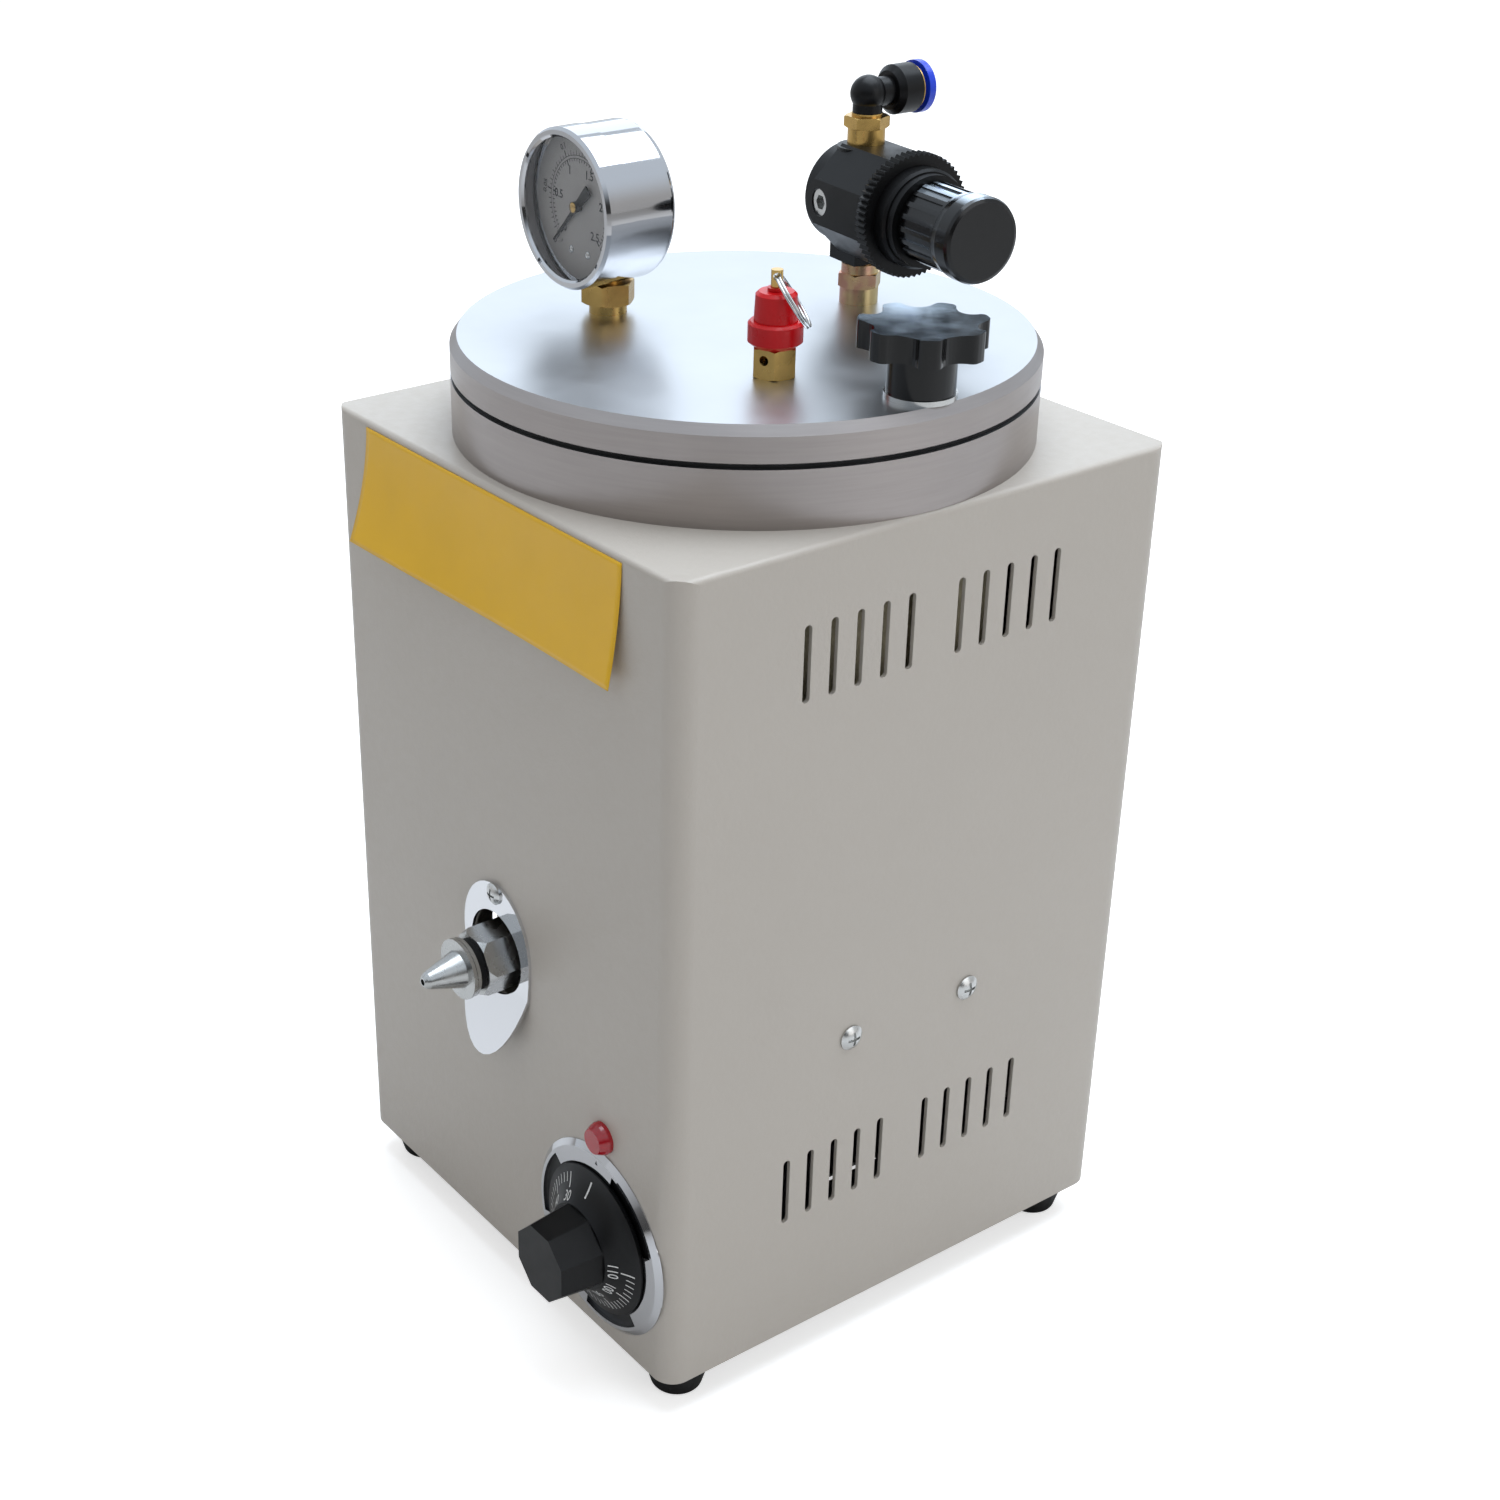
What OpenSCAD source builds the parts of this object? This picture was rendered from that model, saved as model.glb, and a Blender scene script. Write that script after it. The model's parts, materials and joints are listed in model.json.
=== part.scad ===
// Bench-top jewelry wax injector: a heated pressure pot in a square sheet-metal cabinet.
// A lid with pressure gauge, relief valve and air regulator closes the pot; wax leaves through
// the spring-loaded nozzle at the front. The cabinet's front face looks along -Y.

/* [Cabinet] */
// Width of the cabinet, side to side
case_w = 200; // [190:1:240]
// Depth of the cabinet, front to back
case_d = 206.3; // [200:0.1:240]
// Height of the cabinet above its feet
case_h = 302.5; // [290:0.5:340]
// Radius of the four upright corners
case_r = 8; // [4:0.5:14]
// Radius of the folded edges round the top
case_edge = 1.8; // [1:0.1:3]
// Thickness of the sheet metal
sheet_t = 1.5; // [1:0.1:2]
// Height of the rubber feet
foot_h = 14; // [10:0.5:20]
// Radius of a foot at the cabinet
foot_r = 12; // [9:0.5:13]
// Radius of a foot at the bench
foot_base_r = 9.4; // [7:0.1:12]
// Distance from a foot's axis to the side of the cabinet
foot_inset_x = 15.5; // [14:0.5:30]
// Distance from a foot's axis to the front or back of the cabinet
foot_inset_y = 15.7; // [14:0.1:30]
// Height of the folded rim of the base plate
base_rim_h = 12; // [8:1:20]

/* [Vents] */
// Slots in one half of a row
vent_count = 5; // [3:1:6]
// Spacing of the slots
vent_pitch = 10.6; // [8:0.1:11]
// Width of a slot
vent_w = 3; // [2:0.1:4]
// Length of a slot
vent_len = 26.4; // [16:0.1:30]
// Distance of the upper row's centre below the cabinet's top
vent_drop = 38.7; // [32:0.1:46]
// Height of the lower row's centre above the bench
vent_low_z = 77; // [60:0.5:90]

/* [Pot and lid] */
// Distance of the lid's edge from the sides of the cabinet
lid_side_gap = 1; // [1:0.5:6]
// Distance of the lid's edge from the front and back of the cabinet
lid_front_gap = 4.1; // [4:0.1:8]
// Width of the flange that the pot, the gasket and the lid share
flange_w = 19; // [17:0.5:22]
// Thickness of the pot's flange above the cabinet
flange_h = 19.5; // [16:0.5:24]
// Thickness of the lid
lid_h = 12.1; // [10:0.1:16]
// Height of the bevel round the lid's top
lid_bevel_h = 3.2; // [1:0.1:5]
// Width of the bevel round the lid's top
lid_bevel_w = 2.4; // [1:0.1:4]
// Depth of the lid's register inside the pot
spigot_h = 4; // [2:0.5:6]
// Thickness of the lid gasket
gasket_t = 1.6; // [1:0.1:2.5]
// Thickness of the pot's wall
pot_wall = 4; // [3:0.5:5]
// Thickness of the pot's floor
pot_floor = 6; // [5:0.5:7]
// Distance of the heater plate's edge from the pot's outer wall
heater_inset = 22; // [6:1:30]
// Thickness of the heater plate
heater_h = 8; // [6:0.5:10]
// Thickness of the insulation round the pot
wool_t = 8; // [5:0.5:9]

/* [Nozzle] */
// Height of the nozzle's axis above the bench
nozzle_z = 141.3; // [138:0.1:160]
// Width across the flats of the hexagonal barrel
barrel_af = 21.6; // [20:0.1:23]
// Length of the barrel in front of the cabinet
barrel_reach = 12; // [8:0.5:14]
// Travel of the nozzle into the barrel
nozzle_travel = 3; // [2:0.5:3.5]
// Radius of the black piston behind the nozzle
piston_r = 9.4; // [8.5:0.1:9.6]
// Radius of the nozzle's front disc
disc_r = 11.1; // [10:0.1:12]
// Thickness of the two discs together
disc_h = 3; // [2:0.5:4]
// Radius of the nozzle's cone at the disc
cone_r = 6.9; // [5:0.1:8]
// Radius of the cone near its tip
tip_r = 3.1; // [3:0.1:4.5]
// Length of the cone
cone_h = 14.3; // [10:0.1:18]
// Radius of the wax bore
wax_bore_r = 1.2; // [0.8:0.1:1.5]

/* [Drip plate] */
// Distance of the drip plate's middle from the nozzle's axis
drip_x = -1.2; // [-1.5:0.1:1.5]
// Half of the drip plate's width
drip_half_w = 20.5; // [18:0.5:24]
// Height of the drip plate's top above its widest place
drip_up = 24; // [22:0.5:28]
// Depth of its tongue below its widest place, along the sheet
drip_down = 42; // [34:0.5:50]
// Thickness of the drip plate
drip_t = 1.2; // [0.8:0.1:2]
// Radius of its opening for the nozzle
drip_hole_r = 15.7; // [14.5:0.1:17]
// Angle at which the tongue stands off the cabinet
drip_angle = 17; // [8:1:24]

/* [Thermostat] */
// Distance of the thermostat's axis from the middle of the cabinet
dial_x = 60.5; // [50:0.5:62]
// Height of the thermostat's axis above the bench
dial_z = 55.7; // [54:0.1:60]
// Outer radius of the chrome bezel
bezel_r = 36.5; // [35:0.5:38]
// Inner radius of the chrome bezel
bezel_bore_r = 28.6; // [28.4:0.1:30]
// Thickness of the chrome bezel
bezel_h = 2; // [1.5:0.1:3]
// Depth of the three bayonet notches in the bezel
notch_depth = 4.4; // [2:0.1:4.6]
// Angle that each bayonet notch spans
notch_angle = 55; // [30:5:70]
// Radius of the knob's skirt
skirt_r = 28; // [26:0.1:28.2]
// Circumradius of the knob's octagonal grip at the skirt
grip_r = 16; // [13:0.5:18]
// Circumradius of the knob's grip at its front
grip_front_r = 14.3; // [12:0.1:16]
// Distance of the knob's front from the cabinet
knob_reach = 26; // [22:0.5:30]
// Radius of the thermostat's shaft
shaft_r = 3; // [2.5:0.1:3.5]
// Height of the indicator lamp's axis above the bench
lamp_z = 99; // [98:0.5:110]
// Radius of the lamp's rim
lamp_r = 6; // [5:0.1:7]

/* [Lid fittings] */
// Distance of the gauge and the relief valve from the lid's centre
fitting_r = 50; // [44:0.5:54]
// Distance of the regulator from the lid's centre
regulator_r = 51.6; // [46:0.1:56]
// Direction of the gauge, counted from the right
gauge_angle = 211; // [205:1:216]
// Direction of the relief valve
relief_angle = -28; // [-34:1:-22]
// Direction of the regulator
regulator_angle = 92.1; // [88:0.1:96]
// Radius of the threads in the lid
port_r = 5; // [4:0.1:5.5]

/* [Star knob] */
// Distance of the clamp stud from the lid's edge
stud_inset = 12.5; // [11:0.1:13]
// Radius of the clamp stud
stud_r = 4; // [3:0.1:4.5]
// Length of the clamp stud below the star knob's hub
stud_len = 26; // [20:1:30]
// Radius of the star knob over its lobes
star_r = 20.5; // [17:0.5:23]
// Number of lobes
star_lobes = 7; // [5:1:9]
// Depth of the notch between two lobes
star_notch = 4.3; // [2:0.1:6]
// Radius of that notch
star_notch_r = 6.5; // [5:0.1:7]
// Radius of the lobes' corners
star_round = 2.5; // [1:0.1:3]
// Thickness of the star knob's head
star_h = 9.3; // [6:0.1:11]
// Radius of the star knob's hub
star_hub_r = 10.9; // [8:0.1:12]
// Height of the star knob's hub
star_hub_h = 13; // [10:0.1:18]
// Radius of the washer under the star knob
washer_r = 11.5; // [11:0.1:13]
// Thickness of the washer
washer_t = 1.7; // [1:0.1:2.5]

/* [Pressure gauge] */
// Height of the gauge's axis above the lid
gauge_up = 37.7; // [36:0.1:44]
// Radius of the gauge's bezel
gauge_r = 26.7; // [24:0.1:28]
// Width of the bezel's rim
gauge_rim = 3.2; // [2:0.1:4]
// Depth of the gauge from bezel to back
gauge_depth = 28.6; // [24:0.1:34]
// Length of the bezel along the gauge's axis
gauge_bezel_h = 10.1; // [8:0.1:12]
// Distance of the stem's axis behind the front of the bezel
gauge_stem_back = 18.8; // [17.5:0.1:20]
// Distance of the dial behind the front of the bezel
gauge_dial_back = 7.3; // [6.5:0.1:8]

/* [Relief valve] */
// Circumradius of the brass hexagon
relief_hex_r = 7.6; // [7:0.1:8]
// Height of the brass hexagon
relief_hex_h = 9.6; // [8:0.1:12]
// Radius of the red flange
relief_flange_r = 8.8; // [8.5:0.1:10]
// Height of the red flange
relief_flange_h = 8.2; // [6:0.1:10]
// Radius of the red cap
relief_cap_r = 7; // [6:0.1:8]
// Height of the red cap
relief_cap_h = 9.4; // [8:0.1:12]
// Height of the stem above the cap
relief_stem_up = 6.8; // [6:0.1:10]
// Lift of the stem
relief_lift = 3; // [2:0.5:4]
// Radius of the pull ring
pull_ring_r = 9.5; // [9:0.1:10]
// Radius of the pull ring's wire
pull_wire_r = 0.5; // [0.4:0.1:0.7]

/* [Regulator] */
// Height of the regulator's knob axis above the lid
regulator_up = 36.4; // [34:0.1:40]
// Direction in which the regulator's knob points
regulator_turn = -7; // [-12:1:0]
// Circumradius of the regulator's octagonal bonnet
bonnet_r = 19.6; // [18:0.1:20]
// Distance of the panel nut from the regulator's upright axis
panel_nut_at = 25.5; // [22:0.5:28]
// Radius of the serrated panel nut
panel_nut_r = 20.6; // [20.4:0.1:24]
// Thickness of the panel nut
panel_nut_h = 5; // [4:0.5:7]
// Number of serrations on the panel nut
panel_nut_teeth = 60; // [24:1:64]
// Radius of the knob's fluted part
reg_knob_r = 13.4; // [12:0.1:14]
// Radius of the knob's smooth cap
reg_cap_r = 14.1; // [13:0.1:16]
// Distance of the knob's end from the regulator's upright axis
reg_knob_end = 67.3; // [64:0.1:72]
// Distance that the knob pulls out to unlock
reg_pull = 2.5; // [2:0.5:4]
// Number of flutes
reg_flutes = 20; // [12:1:24]

/* [Air inlet fitting] */
// Height of the fitting's axis above the lid
elbow_up = 70.8; // [69:0.1:76]
// Direction in which the air inlet points
elbow_turn = 88; // [70:1:110]
// Radius of the elbow's barrel
elbow_r = 8.2; // [7.8:0.1:9]
// Distance of the elbow's open end from the upright axis
elbow_reach = 17.6; // [17.5:0.1:28]
// Radius of the air hose that pushes in
hose_r = 5; // [4:0.5:5]
// Travel of the release collar
collar_travel = 1.2; // [0.8:0.1:1.5]

/* [Power inlet] */
// Distance of the power inlet from the middle of the cabinet
inlet_x = 50; // [30:1:60]
// Height of the power inlet's axis above the bench
inlet_z = 52; // [46:1:90]

/* [Clearances] */
// Gap round a turning or sliding pin
run_gap = 0.1; // [0.05:0.01:0.3]
// Gap between pieces that slip into each other
fit_gap = 0.2; // [0.1:0.05:0.4]
// Gap between the lid's register and the pot
spigot_gap = 0.5; // [0.3:0.1:1]

/* [Hidden] */
$fn = 64;
eps = 0.01;
far = 400;

// The part's origin is the middle of its footprint, so the cabinet stands off it
inlet_proud = 3;
lid_r = min(case_w / 2 - lid_side_gap, case_d / 2 - lid_front_gap);
stud_pitch_r = lid_r - stud_inset;
case_x = -(stud_pitch_r + star_r - case_w / 2) / 2;
nozzle_reach = barrel_reach + nozzle_travel + disc_h + cone_h;
case_y = (nozzle_reach - inlet_proud) / 2;
front_y = -case_d / 2;

case_top_z = foot_h + case_h;
floor_z = foot_h + sheet_t;
inner_w = case_w - 2 * sheet_t;
inner_d = case_d - 2 * sheet_t;
vent_high_z = case_top_z - vent_drop;
foot_x = case_w / 2 - foot_inset_x;
foot_y = case_d / 2 - foot_inset_y;
m4_r = 2;
m4_hole_r = m4_r + fit_gap;
m4_nut_r = 4;
m4_nut_h = 3;

flange_top_z = case_top_z + flange_h;
lid_z = flange_top_z + gasket_t;
lid_top_z = lid_z + lid_h;
pot_bore_r = lid_r - flange_w;
pot_r = pot_bore_r + pot_wall;
heater_r = pot_r - heater_inset;
pot_fillet = 5;
outlet_drop = 7.8;
pot_in_z = nozzle_z - outlet_drop;
pot_z = pot_in_z - pot_floor;
heater_z = pot_z - heater_h;
shelf_z = heater_z - sheet_t;
shelf_half_d = 45;
shelf_hole_r = 30;
shelf_flange_h = 24;
side_screw_y = 26.75;
side_screw_z = shelf_z + 12.8;
wool_z = nozzle_z + 22;
wool_top_gap = 4;
wool_r = pot_r + 0.5 + wool_t;

barrel_r = barrel_af / 2 / cos(30);
boss_r = 13;
boss_reach = 10;
barrel_back_y = -(pot_r + boss_reach);
chamber_r = 6.5;
outlet_r = 4;
outlet_start = 20;
seat_wall = 4;
stem_r = 3;
poppet_r = 5;
poppet_h = 3;
piston_len = 13;
spring_wire_r = 0.5;
drip_mid_z = nozzle_z + 3.7;
drip_bend_z = nozzle_z - 10.3;
drip_screw_z = drip_mid_z + drip_up - 3.4;

lamp_x = dial_x + 1.5;
lamp_hole_r = 5;
lamp_rim_h = 1.4;
lamp_reach = 4.8;
lamp_depth = 22;
stat_w = 36;
stat_depth = 33;
stat_screw_x = 14;
backplate_t = 0.5;
skirt_back = 1.2;
skirt_edge = 1.8;
grip_back = 9.7;
flare_arc_r = 25;
bulb_r = 3;
bulb_len = 70;
bulb_low_z = wool_z + 6;
capillary_r = 0.9;
capillary_bend = 6;
bulb_angle = -45;
bulb_at_r = pot_r + bulb_r + 0.4;

gauge_pos = fitting_r * [cos(gauge_angle), sin(gauge_angle)];
relief_pos = fitting_r * [cos(relief_angle), sin(relief_angle)];
regulator_pos = regulator_r * [cos(regulator_angle), sin(regulator_angle)];
gauge_z = lid_top_z + gauge_up;
gauge_case_wall = 0.8;
gauge_front_y = gauge_pos[1] - gauge_stem_back;
gauge_glass_t = 1.5;
gauge_collar_h = 3.5;
gauge_hex_h = 7.4;
gauge_hex_r = 9.5;
gauge_hex_turn = 12;
gauge_neck_r = 5;
gauge_can_r = gauge_r - 0.3;
arbor_r = 0.8;

relief_z = lid_top_z;
relief_seat_h = 2.4;
relief_bore_r = 4.4;
relief_stem_r = 1.9;
relief_vent_r = 1.6;
relief_hex_turn = 20;
relief_flange_z = relief_z + relief_hex_h;
relief_cap_z = relief_flange_z + relief_flange_h;
relief_cap_top = relief_cap_z + relief_cap_h;
relief_stem_top = relief_cap_top + relief_stem_up;
pull_hole_z = relief_stem_top - 2;
pull_hole_r = 1.3;
// The ring lies against the red flange: its turn about the stem and its fall below level
pull_turn = -35.4;
pull_droop = 57;

regulator_z = lid_top_z + regulator_up;
nipple_collar_r = 6.65;
nipple_hex_r = 7.6;
nipple_hex_turn = 13;
nipple_hex_z = lid_top_z + 5.6;
nipple_hex_h = 5;
nipple_ring_r = 6.4;
nipple_ring_h = 3.2;
body_low_z = nipple_hex_z + nipple_hex_h + nipple_ring_h + 1;
body_top_z = regulator_z + 17.3;
body_half_w = 7.6;
body_port_r = 9.6;
side_port_r = 8;
side_port_reach = 17.7;
plug_r = 4.6;
plug_h = 5.6;
cover_r = 17;
cover_reach = 15;
bonnet_at = 9.8;
panel_thread_r = 16.5;
panel_thread_end = panel_nut_at + panel_nut_h + 8.5;
neck_h = 3;
neck_r = 15.2;
adjuster_r = 5;
reg_knob_start = panel_thread_end + 0.5;
reg_cap_h = 9.5;
flute_w = 2.6;
flute_depth = 0.7;

fitting_thread_r = 6.3;
fitting_hex_r = 7.7;
fitting_hex_z = body_top_z + 6.1;
fitting_hex_h = 3.9;
fitting_ring_r = 5.2;
fitting_ring_h = 0.9;
elbow_z = lid_top_z + elbow_up;
elbow_plug_r = 3.6;
elbow_stem_r = 5;
elbow_corner_r = 6;
air_r = 2;
elbow_neck_r = 6.4;
elbow_neck_at = 8.3;
elbow_grip_at = elbow_neck_at + 1.7;
collar_tube_len = 8.2;
collar_r = 8.7;
collar_h = 2.6;

star_z = lid_top_z + washer_t;
star_head_z = star_z + star_hub_h;
// Direction of one lobe
star_turn = 15;

inlet_w = 50;
inlet_h = 24;
inlet_body_w = 27.5;
inlet_body_h = 20;
inlet_depth = 22;
inlet_screw_x = 20;

// ---------------------------------------------------------------- placing

module at_case() {
    translate([case_x, case_y, 0]) children();
}

// Local +Z points forwards out of the cabinet's front face, local +Y points up
module on_front(x, z) {
    at_case() translate([x, front_y, z]) rotate([90, 0, 0]) children();
}

// Local +Z points out of the side face, local +Y points up
module on_side(side, y, z) {
    at_case() translate([side * case_w / 2, y, z]) rotate([90, 0, side * 90]) children();
}

// Local +Z points out of the back face, local +Y points up
module on_back(x, z) {
    at_case() translate([x, case_d / 2, z]) rotate([90, 0, 180]) children();
}

module at_gauge() {
    at_case() translate([gauge_pos[0], gauge_front_y, gauge_z]) rotate([90, 0, 0]) children();
}

module at_relief() {
    at_case() translate([relief_pos[0], relief_pos[1], 0]) children();
}

// Local +X points along the regulator's knob
module at_regulator() {
    at_case() translate([regulator_pos[0], regulator_pos[1], 0]) rotate(regulator_turn) children();
}

// Local +Z runs along the regulator's knob, from the upright axis
module along_knob() {
    at_regulator() translate([0, 0, regulator_z]) rotate([0, 90, 0]) children();
}

// Local +Z runs along the elbow's barrel, from the upright axis
module along_elbow() {
    at_case() translate([regulator_pos[0], regulator_pos[1], elbow_z])
        rotate(elbow_turn) rotate([0, 90, 0]) children();
}

module at_stud() {
    at_case() translate([stud_pitch_r, 0, 0]) children();
}

// ---------------------------------------------------------------- shared shapes

module rounded_rect(w, h, r) {
    square([w - 2 * r, h], center = true);
    square([w, h - 2 * r], center = true);
    for (x = [-1, 1], y = [-1, 1])
        translate([x * (w / 2 - r), y * (h / 2 - r)]) circle(r);
}

// A rectangle that stands on the X axis, its two upper corners rounded
module arch_profile(w, h, r) {
    translate([-w / 2, 0]) square([w, h - r]);
    translate([-w / 2 + r, 0]) square([w - 2 * r, h]);
    for (x = [-1, 1])
        translate([x * (w / 2 - r), h - r]) circle(r);
}

module slot_2d(len, w) {
    square([w, len - w], center = true);
    for (y = [-1, 1])
        translate([0, y * (len - w) / 2]) circle(w / 2);
}

module tube(r_out, r_in, h) {
    difference() {
        cylinder(h = h, r = r_out);
        translate([0, 0, -eps]) cylinder(h = h + 2 * eps, r = r_in);
    }
}

module hex(r, h) {
    cylinder(h = h, r = r, $fn = 6);
}

// A hexagon whose corners are turned off at both ends
module turned_hex(r, h) {
    turn = 0.8 * r * (1 - cos(30));
    intersection() {
        hex(r, h);
        rotate_extrude()
            polygon([[0, 0], [r - turn, 0], [r, turn / 2], [r, h - turn / 2], [r - turn, h], [0, h]]);
    }
}

// Pan head screw: its head stands on z = 0 and its shank points down
module pan_screw(head_r, head_h, shank_r, shank_len) {
    edge_h = head_h * 0.3;
    dome_r = (pow(head_r, 2) + pow(head_h - edge_h, 2)) / (2 * (head_h - edge_h));
    slot_w = head_r * 0.22;
    slot_len = head_r * 1.1;
    difference() {
        union() {
            rotate_extrude() intersection() {
                square([head_r, head_h]);
                translate([0, head_h - dome_r]) circle(dome_r);
            }
            translate([0, 0, -shank_len]) cylinder(h = shank_len + eps, r = shank_r);
        }
        for (a = [0, 90])
            rotate(a) translate([-slot_len / 2, -slot_w / 2, head_h * 0.45])
                cube([slot_len, slot_w, head_h]);
    }
}

// A compression spring: one round wire, wound in even turns about the Z axis
module coil(r, wire_r, h, turns) {
    steps = 16;
    sides = 6;
    rings = turns * steps;
    climb = (h - 2 * wire_r) / rings;
    points = [
        for (i = [0 : rings], j = [0 : sides - 1])
            let (a = i * 360 / steps, b = j * 360 / sides, reach = r + wire_r * cos(b))
                [reach * cos(a), reach * sin(a), wire_r * (1 + sin(b)) + i * climb]
    ];
    faces = [
        [for (j = [0 : sides - 1]) j],
        [for (j = [sides - 1 : -1 : 0]) rings * sides + j],
        for (i = [0 : rings - 1], j = [0 : sides - 1])
            let (k = i * sides, next = (j + 1) % sides)
                [k + next, k + j, k + sides + j, k + sides + next]
    ];
    polyhedron(points = points, faces = faces, convexity = 10);
}

// A prism with flat sides that leans in towards its far end
module leaning_prism(sides, r_near, r_far, h) {
    near = r_near * cos(180 / sides);
    far_half = r_far * cos(180 / sides);
    span = 2 * r_near;
    intersection_for(i = [0 : sides / 2 - 1])
        rotate(i * 360 / sides) rotate([90, 0, 0]) translate([0, 0, -span])
            linear_extrude(2 * span)
                polygon([[-near, 0], [near, 0], [far_half, h], [-far_half, h]]);
}

// ---------------------------------------------------------------- cabinet

module vent_rows() {
    for (z = [vent_high_z, vent_low_z], side = [-1, 1], i = [1 : vent_count])
        translate([side * i * vent_pitch, z]) slot_2d(vent_len, vent_w);
}

module housing_shell() {
    color("#A9A6A0") difference() {
        at_case() translate([0, 0, foot_h]) intersection() {
            linear_extrude(case_h) rounded_rect(case_w, case_d, case_r);
            rotate([90, 0, 0]) translate([0, 0, -case_d])
                linear_extrude(2 * case_d) arch_profile(case_w, case_h, case_edge);
            rotate([90, 0, 90]) translate([0, 0, -case_w])
                linear_extrude(2 * case_w) arch_profile(case_d, case_h, case_edge);
        }
        at_case() translate([0, 0, foot_h - eps])
            linear_extrude(case_h - sheet_t + eps)
                rounded_rect(inner_w, inner_d, case_r - sheet_t);
        at_case() cylinder(h = far, r = pot_r + 2);
        at_case() rotate([90, 0, 90]) translate([0, 0, -case_w])
            linear_extrude(2 * case_w) vent_rows();
        for (side = [-1, 1], y = [-1, 1])
            on_side(side, y * side_screw_y, side_screw_z)
                translate([0, 0, -5]) cylinder(h = 10, r = m4_hole_r);
        on_front(drip_x, nozzle_z) translate([0, 0, -5]) cylinder(h = 10, r = drip_hole_r + 1);
        on_front(drip_x, drip_screw_z) translate([0, 0, -5]) cylinder(h = 10, r = m4_hole_r);
        on_front(lamp_x, lamp_z) translate([0, 0, -5]) cylinder(h = 10, r = lamp_hole_r);
        on_front(dial_x, dial_z) translate([0, 0, -5]) {
            cylinder(h = 10, r = shaft_r + 2);
            for (x = [-1, 1])
                translate([x * stat_screw_x, 0, 0]) cylinder(h = 10, r = m4_hole_r);
        }
        for (x = [-1, 1])
            on_front(dial_x + x * stat_screw_x, dial_z) translate([0, 0, -sheet_t])
                cylinder(h = sheet_t + eps, r1 = m4_hole_r, r2 = m4_hole_r + sheet_t);
        on_back(-inlet_x, inlet_z) translate([0, 0, -5]) {
            linear_extrude(10) rounded_rect(inlet_body_w + 2 * fit_gap, inlet_body_h + 2 * fit_gap, 2);
            for (x = [-1, 1])
                translate([x * inlet_screw_x, 0, 0]) cylinder(h = 10, r = m4_hole_r);
        }
    }
}

module base_plate() {
    base_w = inner_w - 2 * fit_gap;
    base_d = inner_d - 2 * fit_gap;
    base_r = case_r - sheet_t - fit_gap;
    color("#9C9A95") at_case() difference() {
        translate([0, 0, foot_h]) linear_extrude(base_rim_h) rounded_rect(base_w, base_d, base_r);
        translate([0, 0, floor_z]) linear_extrude(base_rim_h)
            rounded_rect(base_w - 2 * sheet_t, base_d - 2 * sheet_t, base_r - sheet_t);
        for (x = [-1, 1], y = [-1, 1])
            translate([x * foot_x, y * foot_y, 0]) cylinder(h = far, r = m4_hole_r);
        translate([0, 0, foot_h - eps]) linear_extrude(sheet_t + 2 * eps)
            for (y = [-1, 1], i = [-3 : 3])
                translate([i * 2 * vent_pitch, y * 30]) slot_2d(vent_len, vent_w);
    }
}

module rubber_feet() {
    color("#1C1C1D") at_case() for (x = [-1, 1], y = [-1, 1])
        translate([x * foot_x, y * foot_y, 0]) difference() {
            rotate_extrude() hull() {
                square([foot_base_r - 2, 1]);
                translate([foot_base_r - 2, 2]) circle(2, $fn = 24);
                translate([0, foot_h - 3]) square([foot_r, 3]);
            }
            translate([0, 0, -eps]) cylinder(h = far, r = m4_hole_r);
            translate([0, 0, -eps]) cylinder(h = 5 + eps, r = 4.5);
        }
}

module foot_screws() {
    color("#B5B5B2") at_case() for (x = [-1, 1], y = [-1, 1])
        translate([x * foot_x, y * foot_y, 5]) {
            rotate([180, 0, 0]) pan_screw(4, 2.4, m4_r, floor_z - 5 + m4_nut_h + 1);
            translate([0, 0, floor_z - 5]) turned_hex(m4_nut_r, m4_nut_h);
        }
}

module side_screws() {
    head_r = 4.65;
    shank = 2 * sheet_t + fit_gap + m4_nut_h + 1;
    color("#C9C9C6") for (side = [-1, 1], y = [-1, 1])
        on_side(side, y * side_screw_y, side_screw_z) {
            pan_screw(head_r, 2.4, m4_r, shank);
            translate([0, 0, -2 * sheet_t - fit_gap - m4_nut_h]) turned_hex(m4_nut_r, m4_nut_h);
        }
}

module support_shelf() {
    shelf_w = inner_w - 2 * fit_gap;
    color("#9C9A95") at_case() difference() {
        translate([-shelf_w / 2, -shelf_half_d, shelf_z])
            cube([shelf_w, 2 * shelf_half_d, shelf_flange_h]);
        translate([-shelf_w / 2 + sheet_t, -shelf_half_d - 1, shelf_z + sheet_t])
            cube([shelf_w - 2 * sheet_t, 2 * shelf_half_d + 2, shelf_flange_h]);
        translate([0, 0, shelf_z - 1]) cylinder(h = 10, r = shelf_hole_r);
        for (y = [-1, 1])
            translate([-case_w, y * side_screw_y, side_screw_z])
                rotate([0, 90, 0]) cylinder(h = 2 * case_w, r = m4_hole_r);
    }
}

// ---------------------------------------------------------------- pot

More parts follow.
